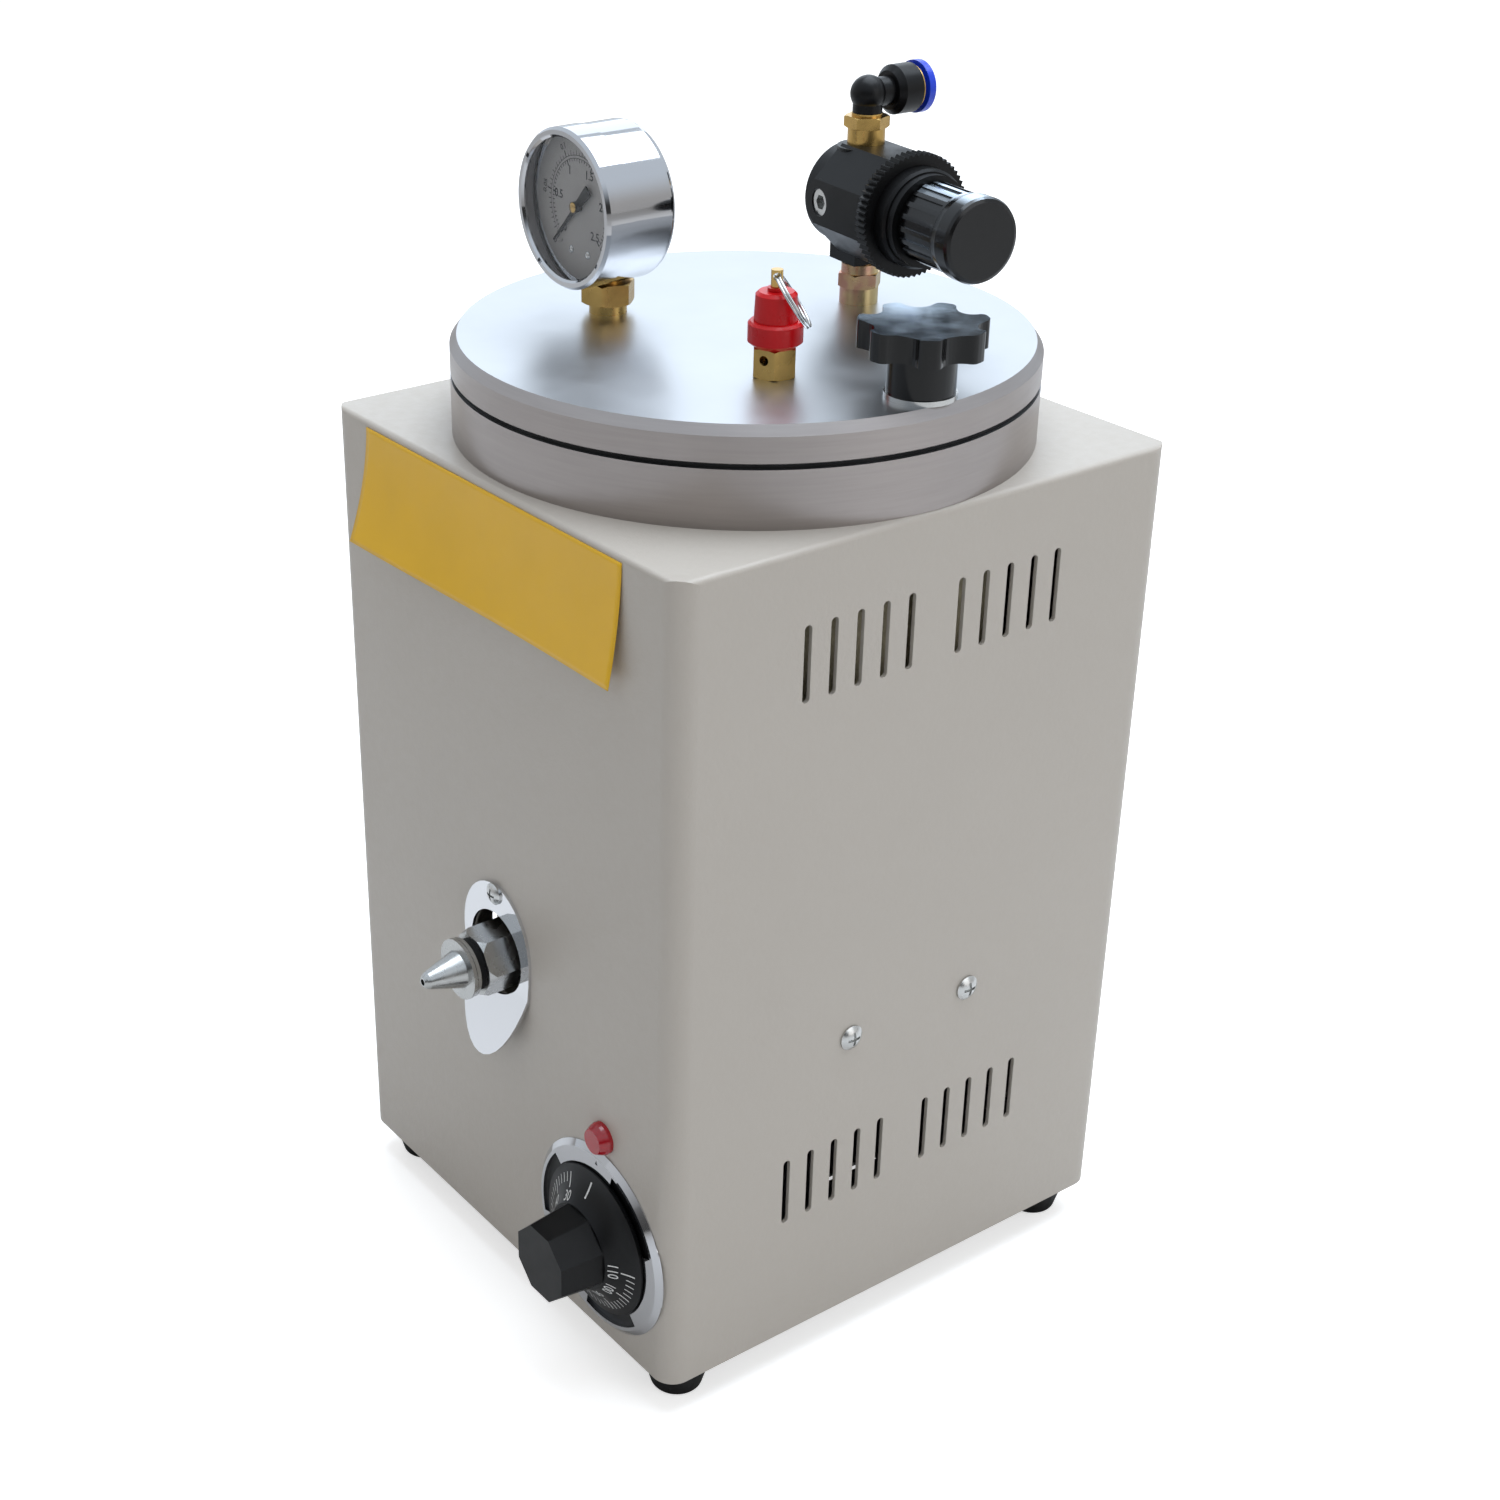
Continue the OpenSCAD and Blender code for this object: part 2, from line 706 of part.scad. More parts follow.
module wax_pot() {
    color("#B9B9B7") at_case() difference() {
        union() {
            rotate_extrude() difference() {
                union() {
                    translate([0, pot_z]) square([pot_r, case_top_z - pot_z + 1]);
                    translate([0, case_top_z]) square([lid_r, flange_h]);
                }
                translate([0, pot_in_z + pot_fillet]) square([pot_bore_r, far]);
                translate([0, pot_in_z]) square([pot_bore_r - pot_fillet, far]);
                translate([pot_bore_r - pot_fillet, pot_in_z + pot_fillet]) circle(pot_fillet);
            }
            translate([0, -pot_r + 2, nozzle_z]) rotate([90, 0, 0])
                cylinder(h = boss_reach + 2, r = boss_r);
        }
        translate([0, -pot_bore_r + outlet_start, nozzle_z]) rotate([90, 0, 0])
            cylinder(h = far, r = outlet_r);
        translate([0, -pot_r, nozzle_z]) rotate([90, 0, 0]) cylinder(h = far, r = chamber_r);
        translate([stud_pitch_r, 0, lid_top_z + washer_t - stud_len - 1])
            cylinder(h = far, r = stud_r + fit_gap);
    }
}

module pot_insulation() {
    color("#D9D2B8") at_case() difference() {
        translate([0, 0, wool_z])
            tube(wool_r, pot_r + 0.5, case_top_z - sheet_t - wool_top_gap - wool_z);
        rotate(bulb_angle) translate([bulb_at_r, 0, wool_z - 1])
            cylinder(h = bulb_len + 10, r = bulb_r + 0.8);
    }
}

module heater_plate() {
    terminal_x = 14;
    terminal_r = 2.5;
    terminal_h = 12;
    color("#8E8C88") at_case() translate([0, 0, heater_z]) {
        cylinder(h = heater_h, r = heater_r);
        for (x = [-1, 1])
            translate([x * terminal_x, 0, -terminal_h]) cylinder(h = terminal_h + eps, r = terminal_r);
    }
}

module lid_gasket() {
    color("#141414") at_case() translate([0, 0, flange_top_z]) difference() {
        tube(lid_r - 1.2, pot_bore_r, gasket_t);
        translate([stud_pitch_r, 0, -1]) cylinder(h = 5, r = stud_r + 0.6);
    }
}

// ---------------------------------------------------------------- nozzle

module nozzle_barrel() {
    back = front_y - barrel_back_y;
    front_len = barrel_reach - back;
    color("#A8A8A6") on_front(0, nozzle_z) difference() {
        intersection() {
            translate([0, 0, back]) hex(barrel_r, front_len);
            rotate_extrude() polygon([
                [0, back], [barrel_r, back], [barrel_r, barrel_reach - 2.5],
                [barrel_r - 1.2, barrel_reach], [0, barrel_reach]
            ]);
        }
        translate([0, 0, back + seat_wall]) cylinder(h = far, r = piston_r + run_gap);
        translate([0, 0, back - 1]) cylinder(h = 10, r = stem_r + 0.6);
    }
}

module nozzle_spring() {
    seat = front_y - barrel_back_y + seat_wall;
    rest_len = barrel_reach + nozzle_travel - piston_len - seat;
    color("#C4C4C2") on_front(0, nozzle_z) translate([0, 0, seat])
        coil(7, spring_wire_r, rest_len, 3);
}

module nozzle_piston() {
    piston_back = barrel_reach + nozzle_travel - piston_len;
    color("#1A1A1A") on_front(0, nozzle_z) translate([0, 0, piston_back])
        tube(piston_r, stem_r + fit_gap, piston_len);
}

module nozzle_disc() {
    disc_z = barrel_reach + nozzle_travel;
    color("#B9B9B6") on_front(0, nozzle_z) translate([0, 0, disc_z]) difference() {
        rotate_extrude() polygon([
            [0, 0], [disc_r - 0.2, 0], [disc_r - 0.2, disc_h * 0.45], [disc_r - 0.8, disc_h * 0.45],
            [disc_r - 0.8, disc_h * 0.55], [disc_r, disc_h * 0.55], [disc_r, disc_h], [0, disc_h]
        ]);
        translate([0, 0, -1]) cylinder(h = 10, r = stem_r + fit_gap);
    }
}

module nozzle_tip() {
    tip_z = barrel_reach + nozzle_travel + disc_h;
    nose = 1.8;
    color("#C2C2BF") on_front(0, nozzle_z) translate([0, 0, tip_z]) difference() {
        rotate_extrude() polygon([
            [0, 0], [cone_r, 0], [tip_r, cone_h - nose], [tip_r - 0.5, cone_h - nose / 2],
            [tip_r - 1.4, cone_h], [0, cone_h]
        ]);
        translate([0, 0, -1]) cylinder(h = 30, r = wax_bore_r);
    }
}

module valve_poppet() {
    seat = front_y - barrel_back_y;
    disc_z = barrel_reach + nozzle_travel + disc_h;
    color("#C8A24A") on_front(0, nozzle_z) difference() {
        union() {
            translate([0, 0, seat - poppet_h]) cylinder(h = disc_z - seat + poppet_h, r = stem_r);
            translate([0, 0, seat - poppet_h]) cylinder(h = poppet_h - 0.05, r = poppet_r);
        }
        translate([0, 0, seat + 1]) cylinder(h = far, r = wax_bore_r);
        translate([-10, 0, seat + 2]) rotate([0, 90, 0]) cylinder(h = 20, r = 1);
    }
}

module drip_outline() {
    polygon([for (a = [0 : 9 : 351])
        [drip_half_w * cos(a), (sin(a) > 0 ? drip_up : drip_down) * sin(a)]]);
}

module drip_plate() {
    top = drip_mid_z + drip_up + 5;
    low = drip_mid_z - drip_down - 5;
    tongue = drip_bend_z - low;
    lean = tongue * tan(drip_angle);
    // The sheet is a little thicker across the sloping stretch when it is measured level
    level_t = drip_t / cos(drip_angle);
    color("#D8D8D6") difference() {
        intersection() {
            on_front(drip_x, drip_mid_z) linear_extrude(lean + level_t + 1) drip_outline();
            at_case() translate([-case_w / 2, front_y, 0]) rotate([90, 0, 90]) linear_extrude(case_w)
                polygon([
                    [0, top], [-drip_t, top], [-drip_t, drip_bend_z],
                    [-level_t - lean, low], [-lean, low], [0, drip_bend_z]
                ]);
        }
        on_front(drip_x, nozzle_z + 0.7) translate([0, 0, -5]) cylinder(h = 20, r = drip_hole_r);
        on_front(drip_x, drip_screw_z) translate([0, 0, -5]) cylinder(h = 10, r = m4_hole_r);
    }
}

module drip_plate_screw() {
    color("#C9C9C6") on_front(drip_x, drip_screw_z) translate([0, 0, drip_t])
        pan_screw(4, 2.2, m4_r, 9);
}

// ---------------------------------------------------------------- thermostat and lamp

module thermostat_body() {
    color("#2A2A2C") on_front(dial_x, dial_z) difference() {
        translate([0, 0, -sheet_t - stat_depth]) linear_extrude(stat_depth)
            rounded_rect(stat_w, stat_w, 3);
        translate([0, 0, -sheet_t - 12]) cylinder(h = 20, r = shaft_r + run_gap);
        for (x = [-1, 1])
            translate([x * stat_screw_x, 0, -sheet_t - 8]) cylinder(h = 10, r = m4_r + run_gap);
    }
}

module thermostat_screws() {
    color("#C9C9C6") for (x = [-1, 1])
        on_front(dial_x + x * stat_screw_x, dial_z) {
            translate([0, 0, -sheet_t]) cylinder(h = sheet_t - 0.1, r1 = m4_r, r2 = m4_r + sheet_t);
            translate([0, 0, -sheet_t - 6]) cylinder(h = 6 + eps, r = m4_r);
        }
}

module sensing_bulb() {
    bulb = bulb_at_r * [cos(bulb_angle), sin(bulb_angle)];
    turn_z = dial_z + capillary_bend;
    stat_back_y = front_y + sheet_t + stat_depth;
    color("#B87B4A") at_case() {
        translate([bulb[0], bulb[1], bulb_low_z]) cylinder(h = bulb_len, r = bulb_r);
        translate([bulb[0], bulb[1], turn_z]) cylinder(h = bulb_low_z - turn_z + 1, r = capillary_r);
        translate([bulb[0], bulb[1] - capillary_bend, turn_z]) rotate([0, 90, 0])
            rotate_extrude(angle = 90) translate([capillary_bend, 0]) circle(capillary_r);
        translate([bulb[0], stat_back_y, dial_z]) rotate([-90, 0, 0])
            cylinder(h = bulb[1] - capillary_bend - stat_back_y + eps, r = capillary_r);
    }
}

module dial_backplate() {
    color("#101010") on_front(dial_x, dial_z)
        tube(bezel_bore_r + notch_depth + 0.4, shaft_r + 2, backplate_t);
}

module dial_bezel() {
    notch_r = bezel_bore_r + notch_depth;
    color("#CFCFCD") on_front(dial_x, dial_z) difference() {
        rotate_extrude() polygon([
            [bezel_bore_r, backplate_t], [notch_r + 0.5, backplate_t], [notch_r + 0.5, 0],
            [bezel_r, 0], [bezel_r, 0.4], [bezel_r - 2.2, bezel_h], [bezel_bore_r, bezel_h]
        ]);
        for (i = [0 : 2])
            rotate(19 + i * 120) translate([0, 0, -1]) rotate_extrude(angle = notch_angle)
                translate([bezel_bore_r - 2, 0]) square([notch_depth + 2, 10]);
    }
}

module thermostat_shaft() {
    color("#B5B5B2") on_front(dial_x, dial_z) difference() {
        translate([0, 0, -sheet_t - 11]) cylinder(h = sheet_t + 11 + 18, r = shaft_r);
        translate([-shaft_r, shaft_r * 0.55, 4]) cube([2 * shaft_r, shaft_r, 30]);
    }
}

module thermostat_knob() {
    edge = [skirt_r, skirt_back + skirt_edge];
    crown = [grip_r, grip_back];
    mid = (edge + crown) / 2;
    chord = norm(crown - edge);
    away = [crown[1] - edge[1], edge[0] - crown[0]] / chord;
    flare_centre = mid + away * sqrt(pow(flare_arc_r, 2) - pow(chord / 2, 2));
    color("#1B1B1C") on_front(dial_x, dial_z) difference() {
        union() {
            rotate_extrude() difference() {
                polygon([
                    [0, skirt_back], [skirt_r - 0.4, skirt_back], [skirt_r, skirt_back + 0.5],
                    edge, crown, [0, grip_back]
                ]);
                translate(flare_centre) circle(flare_arc_r);
            }
            translate([0, 0, grip_back - 4])
                leaning_prism(8, grip_r + 0.4, grip_front_r, knob_reach - grip_back + 4);
        }
        translate([0, 0, -1]) difference() {
            cylinder(h = 20, r = shaft_r + 0.02);
            translate([-shaft_r - 1, shaft_r * 0.55 + 0.02, 5]) cube([2 * shaft_r + 2, shaft_r, 30]);
        }
    }
}

module lamp_body() {
    color("#202020") on_front(lamp_x, lamp_z) translate([0, 0, -lamp_depth]) {
        tube(lamp_hole_r - 0.1, 3.6, lamp_depth);
        for (x = [-1, 1])
            translate([x * 2.2 - 0.4, -1.5, -7]) cube([0.8, 3, 9]);
        cylinder(h = 2, r = lamp_hole_r - 0.1);
        translate([0, 0, lamp_depth - sheet_t - 3]) tube(7, lamp_hole_r - 0.2, 3);
    }
}

module lamp_lens() {
    color("#B3121D") on_front(lamp_x, lamp_z) {
        rotate_extrude() difference() {
            hull() {
                square([lamp_r, lamp_rim_h]);
                translate([0, lamp_rim_h]) square([lamp_r - 0.4, 1.2]);
                translate([0, lamp_reach - 1]) square([lamp_r - 1.5, 1]);
            }
            square([3.4, lamp_reach - 1.2]);
        }
        translate([0, 0, -6]) tube(3.5, 2.9, 6 + eps);
    }
}

// ---------------------------------------------------------------- power inlet

module inlet_mouth() {
    mouth_w = 24.5;
    mouth_h = 16.5;
    cut = 4.5;
    polygon([
        [-mouth_w / 2, -mouth_h / 2], [mouth_w / 2, -mouth_h / 2],
        [mouth_w / 2, mouth_h / 2 - cut], [mouth_w / 2 - cut, mouth_h / 2],
        [-mouth_w / 2 + cut, mouth_h / 2], [-mouth_w / 2, mouth_h / 2 - cut]
    ]);
}

module power_inlet() {
    color("#18181A") on_back(-inlet_x, inlet_z) difference() {
        union() {
            linear_extrude(inlet_proud) hull() {
                rounded_rect(inlet_body_w + 4, inlet_h, 3);
                for (x = [-1, 1])
                    translate([x * inlet_screw_x, 0]) circle(inlet_w / 2 - inlet_screw_x, $fn = 32);
            }
            translate([0, 0, -inlet_depth]) linear_extrude(inlet_depth + eps)
                rounded_rect(inlet_body_w, inlet_body_h, 2);
        }
        translate([0, 0, inlet_proud - 17]) linear_extrude(20) inlet_mouth();
        for (x = [-1, 1])
            translate([x * inlet_screw_x, 0, -1]) cylinder(h = 10, r = m4_hole_r);
        for (p = [[-7, -1.5], [7, -1.5], [0, 2.5]])
            translate([p[0] - 1 - 0.02, p[1] - 2 - 0.02, -far / 2]) cube([2.04, 4.04, far]);
    }
}

module inlet_pins() {
    color("#C9B27A") on_back(-inlet_x, inlet_z)
        for (p = [[-7, -1.5], [7, -1.5], [0, 2.5]])
            translate([p[0] - 1, p[1] - 2, -inlet_depth - 8]) cube([2, 4, inlet_depth + 8 - 1]);
}

module inlet_screws() {
    color("#C9C9C6") for (x = [-1, 1])
        on_back(-inlet_x + x * inlet_screw_x, inlet_z) translate([0, 0, inlet_proud]) {
            pan_screw(3.4, 1.8, m4_r, inlet_proud + sheet_t + m4_nut_h + 1);
            translate([0, 0, -inlet_proud - sheet_t - m4_nut_h]) turned_hex(m4_nut_r, m4_nut_h);
        }
}

// ---------------------------------------------------------------- lid

module lid() {
    color("#BDBDBB") at_case() difference() {
        rotate_extrude() polygon([
            [0, lid_z - spigot_h], [pot_bore_r - spigot_gap - 1, lid_z - spigot_h],
            [pot_bore_r - spigot_gap, lid_z - spigot_h + 1], [pot_bore_r - spigot_gap, lid_z],
            [lid_r - 0.4, lid_z], [lid_r, lid_z + 0.4], [lid_r, lid_top_z - lid_bevel_h],
            [lid_r - lid_bevel_w, lid_top_z], [0, lid_top_z]
        ]);
        for (p = [gauge_pos, relief_pos, regulator_pos])
            translate([p[0], p[1], 0]) cylinder(h = far * 2, r = port_r + run_gap);
        translate([stud_pitch_r, 0, 0]) cylinder(h = far * 2, r = stud_r + fit_gap);
    }
}

module clamp_washer() {
    color("#C9C9C6") at_stud() translate([0, 0, lid_top_z])
        tube(washer_r, stud_r + fit_gap, washer_t);
}

module clamp_stud() {
    color("#B5B5B2") at_stud() translate([0, 0, star_z - stud_len])
        cylinder(h = stud_len + 10, r = stud_r);
}

module star_outline() {
    offset(r = star_round) offset(r = -star_round) difference() {
        circle(star_r, $fn = 48);
        for (i = [0 : star_lobes - 1])
            rotate(star_turn + (i + 0.5) * 360 / star_lobes)
                translate([star_r - star_notch + star_notch_r, 0]) circle(star_notch_r, $fn = 32);
    }
}

module star_knob() {
    dish = 1.8;
    dish_rim_r = star_r + 1.5;
    dish_r = (pow(dish_rim_r, 2) + pow(dish, 2)) / (2 * dish);
    color("#151516") at_stud() difference() {
        union() {
            translate([0, 0, star_z]) cylinder(h = star_hub_h + 1, r = star_hub_r);
            translate([0, 0, star_head_z]) linear_extrude(star_h) star_outline();
        }
        translate([0, 0, star_head_z + star_h - dish]) rotate_extrude() intersection() {
            square([dish_rim_r + 1, dish + 1]);
            translate([0, dish_r]) circle(dish_r);
        }
        translate([0, 0, star_z - 1]) cylinder(h = 11, r = stud_r + 0.02);
    }
}

// ---------------------------------------------------------------- pressure gauge

module gauge_stem() {
    color("#B8923C") at_case() translate([gauge_pos[0], gauge_pos[1], lid_top_z]) difference() {
        union() {
            translate([0, 0, -lid_h - 1]) cylinder(h = lid_h + 1 + eps, r = port_r);
            cylinder(h = gauge_collar_h, r = 6.5);
            translate([0, 0, gauge_collar_h]) rotate(gauge_hex_turn) turned_hex(gauge_hex_r, gauge_hex_h);
            translate([0, 0, gauge_collar_h + gauge_hex_h - 1]) cylinder(h = 8, r = gauge_neck_r);
            translate([-4, -4, gauge_collar_h + gauge_hex_h + 1]) cube([8, 8, 13]);
        }
        translate([0, 0, -lid_h - 2]) cylinder(h = lid_h + 26, r = 1.2);
    }
}

module gauge_case() {
    can_len = gauge_depth - gauge_bezel_h + 2;
    back_round = 3;
    color("#D2D2D2") difference() {
        at_gauge() translate([0, 0, -gauge_depth]) rotate_extrude() difference() {
            hull() {
                square([gauge_can_r - back_round, 1]);
                translate([gauge_can_r - back_round, back_round]) circle(back_round, $fn = 32);
                translate([0, can_len - 1]) square([gauge_can_r, 1]);
            }
            translate([0, gauge_case_wall]) square([gauge_can_r - back_round, can_len]);
            translate([0, back_round]) square([gauge_can_r - gauge_case_wall, can_len]);
        }
        at_case() translate([gauge_pos[0], gauge_pos[1], lid_top_z])
            cylinder(h = gauge_up, r = gauge_neck_r + 0.05);
    }
}

module gauge_bezel() {
    bore = gauge_r - gauge_rim;
    seat_r = gauge_can_r + 0.05;
    slot_w = 1.2;
    slot_len = 2;
    color("#DADADA") at_gauge() difference() {
        translate([0, 0, -gauge_bezel_h]) rotate_extrude() polygon([
            [seat_r, 0], [gauge_r, 0], [gauge_r, gauge_bezel_h - 1.2],
            [gauge_r - 0.9, gauge_bezel_h], [bore + 0.8, gauge_bezel_h], [bore, gauge_bezel_h - 0.8],
            [bore, gauge_bezel_h - 1.6], [seat_r, gauge_bezel_h - 1.6]
        ]);
        // The slots by which a screwdriver lifts the bezel
        for (a = [144, -124, -37])
            rotate(a) translate([gauge_r - gauge_rim / 2 - slot_w, -slot_len / 2, -0.7])
                cube([slot_w, slot_len, 1]);
    }
}

module gauge_glass() {
    color("#DDE6E8") at_gauge() translate([0, 0, -1.6 - gauge_glass_t])
        cylinder(h = gauge_glass_t, r = gauge_r - 0.9);
}

module gauge_dial() {
    color("#E4E4E0") at_gauge() translate([0, 0, -gauge_dial_back - 0.6])
        tube(gauge_r - 1.7, 1.6, 0.6);
}

module bourdon_tube() {
    coil_r = 15;
    tube_r = 2.6;
    tube_w = 2.4;
    color("#B8923C") at_gauge() translate([0, 0, -gauge_stem_back])
        rotate(-72) rotate_extrude(angle = 252) translate([coil_r, 0])
            intersection() {
                circle(tube_r);
                square([tube_w, 2 * tube_r + 1], center = true);
            }
}

module gauge_movement() {
    front_z = -gauge_dial_back - 4;
    rear_z = front_z - 5;
    foot_y = gauge_collar_h + gauge_hex_h + 14 - gauge_up;
    color("#B8923C") at_gauge() {
        difference() {
            union() {
                for (z = [front_z, rear_z])
                    translate([0, 0, z]) linear_extrude(1) rounded_rect(14, 18, 2);
                translate([-3, foot_y + 0.1, rear_z]) cube([6, -foot_y - 8, 1]);
                for (x = [-1, 1], y = [-1, 1])
                    translate([x * 5, y * 7, rear_z]) cylinder(h = 8.4, r = 1);
                translate([-13.2, -0.6, rear_z]) cube([7, 1.2, 1]);
            }
            translate([0, 0, rear_z - 1]) cylinder(h = 20, r = arbor_r + run_gap);
        }
    }
}

module gauge_pointer() {
    tip = 19.5;
    tail = 9.5;
    color("#262626") at_gauge() translate([0, 0, -gauge_dial_back + 1]) {
        rotate(225) linear_extrude(0.5) {
            polygon([[0, 0.9], [tip, 0.2], [tip, -0.2], [0, -0.9]]);
            polygon([[0, -1.3], [-tail, -1.9], [-tail, 1.9], [0, 1.3]]);
        }
        translate([0, 0, -11]) cylinder(h = 11 + eps, r = arbor_r);
        cylinder(h = 1.9, r = 1.9);
    }
}

// ---------------------------------------------------------------- relief valve

module relief_body() {
    color("#B8923C") at_relief() difference() {
        union() {
            translate([0, 0, lid_z - spigot_h + 1]) cylinder(h = lid_h + spigot_h, r = port_r);
            translate([0, 0, relief_z]) rotate(relief_hex_turn) turned_hex(relief_hex_r, relief_hex_h);
        }
        translate([0, 0, relief_z + relief_seat_h]) cylinder(h = far, r = relief_bore_r);
        cylinder(h = far, r = 2);
        for (side = [-1, 1])
            rotate(relief_hex_turn + side * 90) translate([relief_bore_r - 0.8, 0, relief_z + 6.2])
                rotate([0, 90, 0])
                cylinder(h = 10, r = relief_vent_r);
    }
}

module relief_bonnet() {
    bevel_w = 2;
    bevel_h = 1.6;
    taper = 0.4;
    lip_r = 2.9;
    lip_h = 1.2;
    color("#C4141C") at_relief() difference() {
        rotate_extrude() polygon([
            [0, relief_flange_z], [relief_flange_r - bevel_w, relief_flange_z],
            [relief_flange_r, relief_flange_z + bevel_h], [relief_flange_r, relief_cap_z - 0.8],
            [relief_flange_r - 0.8, relief_cap_z], [relief_cap_r, relief_cap_z],
            [relief_cap_r - taper, relief_cap_top - 1], [relief_cap_r - taper - 1, relief_cap_top],
            [lip_r, relief_cap_top], [lip_r, relief_cap_top + lip_h], [0, relief_cap_top + lip_h]
        ]);
        translate([0, 0, relief_flange_z - 1]) cylinder(h = relief_cap_top - relief_flange_z - 1.5,
            r = relief_bore_r);
        cylinder(h = far * 2, r = relief_stem_r + run_gap);
    }
}

module relief_spring() {
    low = relief_z + relief_seat_h + 2;
    high = relief_cap_top - 2.5;
    color("#C4C4C2") at_relief() translate([0, 0, low]) coil(3.2, spring_wire_r, high - low, 7);
}

module relief_stem() {
    low = relief_z + relief_seat_h;
    color("#B8923C") at_relief() difference() {
        union() {
            translate([0, 0, low]) cylinder(h = 2, r = relief_bore_r - 0.3);
            translate([0, 0, low]) cylinder(h = relief_stem_top - low, r = relief_stem_r);
        }
        translate([0, 0, pull_hole_z]) rotate(pull_turn) rotate([0, 90, 0]) translate([0, 0, -5])
            cylinder(h = 10, r = pull_hole_r);
    }
}

module pull_ring() {
    color("#B5B5B2") at_relief() translate([0, 0, pull_hole_z]) rotate(pull_turn)
        rotate([-pull_droop, 0, 0]) translate([0, pull_ring_r, 0])
            rotate_extrude() for (side = [-1, 1])
                translate([pull_ring_r, side * pull_wire_r * 0.9]) circle(pull_wire_r);
}

// ---------------------------------------------------------------- regulator

module regulator_nipple() {
    ring_z = nipple_hex_z + nipple_hex_h;
    color("#C9B27A") at_regulator() difference() {
        union() {
            translate([0, 0, lid_z - spigot_h + 1]) cylinder(h = lid_h + spigot_h, r = port_r);
            translate([0, 0, lid_top_z]) cylinder(h = nipple_hex_z - lid_top_z, r = nipple_collar_r);
            translate([0, 0, nipple_hex_z]) rotate(nipple_hex_turn)
                turned_hex(nipple_hex_r, nipple_hex_h);
            translate([0, 0, ring_z]) cylinder(h = nipple_ring_h, r = nipple_ring_r);
            translate([0, 0, ring_z]) cylinder(h = body_low_z - ring_z + 8, r = port_r);
        }
        translate([0, 0, lid_z - spigot_h]) cylinder(h = far, r = 2.5);
    }
}

module octagon(from, to) {
    translate([0, 0, from]) rotate(180 / 8) cylinder(h = to - from, r = bonnet_r, $fn = 8);
}

module regulator_body() {
    color("#17181A") difference() {
        union() {
            along_knob() {
                octagon(-3, bonnet_at);
                rotate_extrude() polygon([
                    [0, -cover_reach], [cover_r - 4, -cover_reach], [cover_r, -cover_reach + 5],
                    [cover_r, 0], [0, 0]
                ]);
            }
            at_regulator() {
                translate([0, 0, regulator_z]) cylinder(h = body_top_z - regulator_z, r = body_port_r);
                translate([-body_half_w, -body_half_w, body_low_z])
                    cube([2 * body_half_w, 2 * body_half_w, regulator_z - body_low_z]);
                translate([0, -side_port_reach, regulator_z]) rotate([-90, 0, 0])
                    cylinder(h = 2 * side_port_reach, r = side_port_r);
            }
        }
        at_regulator() {
            translate([0, 0, body_low_z - 1]) cylinder(h = 11, r = port_r + 0.05);
            translate([0, 0, body_top_z - 8]) cylinder(h = 20, r = fitting_thread_r + 0.05);
            for (side = [-1, 1])
                translate([0, side * (side_port_reach - plug_h - 0.4), regulator_z])
                    rotate([-side * 90, 0, 0]) cylinder(h = 20, r = plug_r + 0.05);
        }
    }
}

module regulator_bonnet() {
    step_at = panel_thread_end - neck_h;
    color("#17181A") along_knob() difference() {
        union() {
            octagon(bonnet_at, panel_nut_at);
            rotate_extrude() polygon([
                [0, panel_nut_at - 1], [panel_thread_r, panel_nut_at - 1],
                [panel_thread_r, step_at - 0.8], [panel_thread_r - 0.8, step_at],
                [neck_r, step_at], [neck_r, panel_thread_end], [0, panel_thread_end]
            ]);
        }
        translate([0, 0, panel_nut_at - 6]) cylinder(h = far, r = adjuster_r + run_gap);
    }
}

module panel_nut() {
    tooth = 4.1 * panel_nut_r / panel_nut_teeth;
    color("#141416") along_knob() translate([0, 0, panel_nut_at]) linear_extrude(panel_nut_h)
        difference() {
            circle(panel_nut_r);
            circle(panel_thread_r + run_gap);
            for (i = [0 : panel_nut_teeth - 1])
                rotate(i * 360 / panel_nut_teeth) translate([panel_nut_r, 0])
                    rotate(45) square(tooth, center = true);
        }
}

module port_plugs() {
    color("#8F8F8D") at_regulator() for (side = [-1, 1])
        translate([0, side * (side_port_reach - plug_h - 0.4), regulator_z])
            rotate([-side * 90, 0, 0]) difference() {
                cylinder(h = plug_h, r = plug_r);
                translate([0, 0, 2]) cylinder(h = plug_h, r = 2.6, $fn = 6);
            }
}

module regulator_adjuster() {
    color("#B5B5B2") along_knob() translate([0, 0, panel_nut_at - 5])
        cylinder(h = reg_knob_end - panel_nut_at - 3, r = adjuster_r);
}

module regulator_knob() {
    cap_at = reg_knob_end - reg_cap_h;
    flare_h = 3;
    color("#121214") along_knob() difference() {
        rotate_extrude() polygon([
            [0, reg_knob_start], [reg_knob_r - 0.5, reg_knob_start],
            [reg_knob_r, reg_knob_start + 0.5], [reg_knob_r, cap_at],
            [reg_cap_r, cap_at + flare_h], [reg_cap_r, reg_knob_end - 1.6],
            [reg_cap_r - 0.5, reg_knob_end - 0.5], [reg_cap_r - 1.6, reg_knob_end],
            [0, reg_knob_end]
        ]);
        for (i = [0 : reg_flutes - 1])
            rotate((i + 0.5) * 360 / reg_flutes)
                translate([reg_knob_r - flute_depth, -flute_w / 2, reg_knob_start - 1])
                    cube([2, flute_w, cap_at - reg_knob_start]);
        translate([0, 0, reg_knob_start - 1])
            cylinder(h = reg_knob_end - reg_knob_start - 2, r = adjuster_r + run_gap);
    }
}

// ---------------------------------------------------------------- air inlet

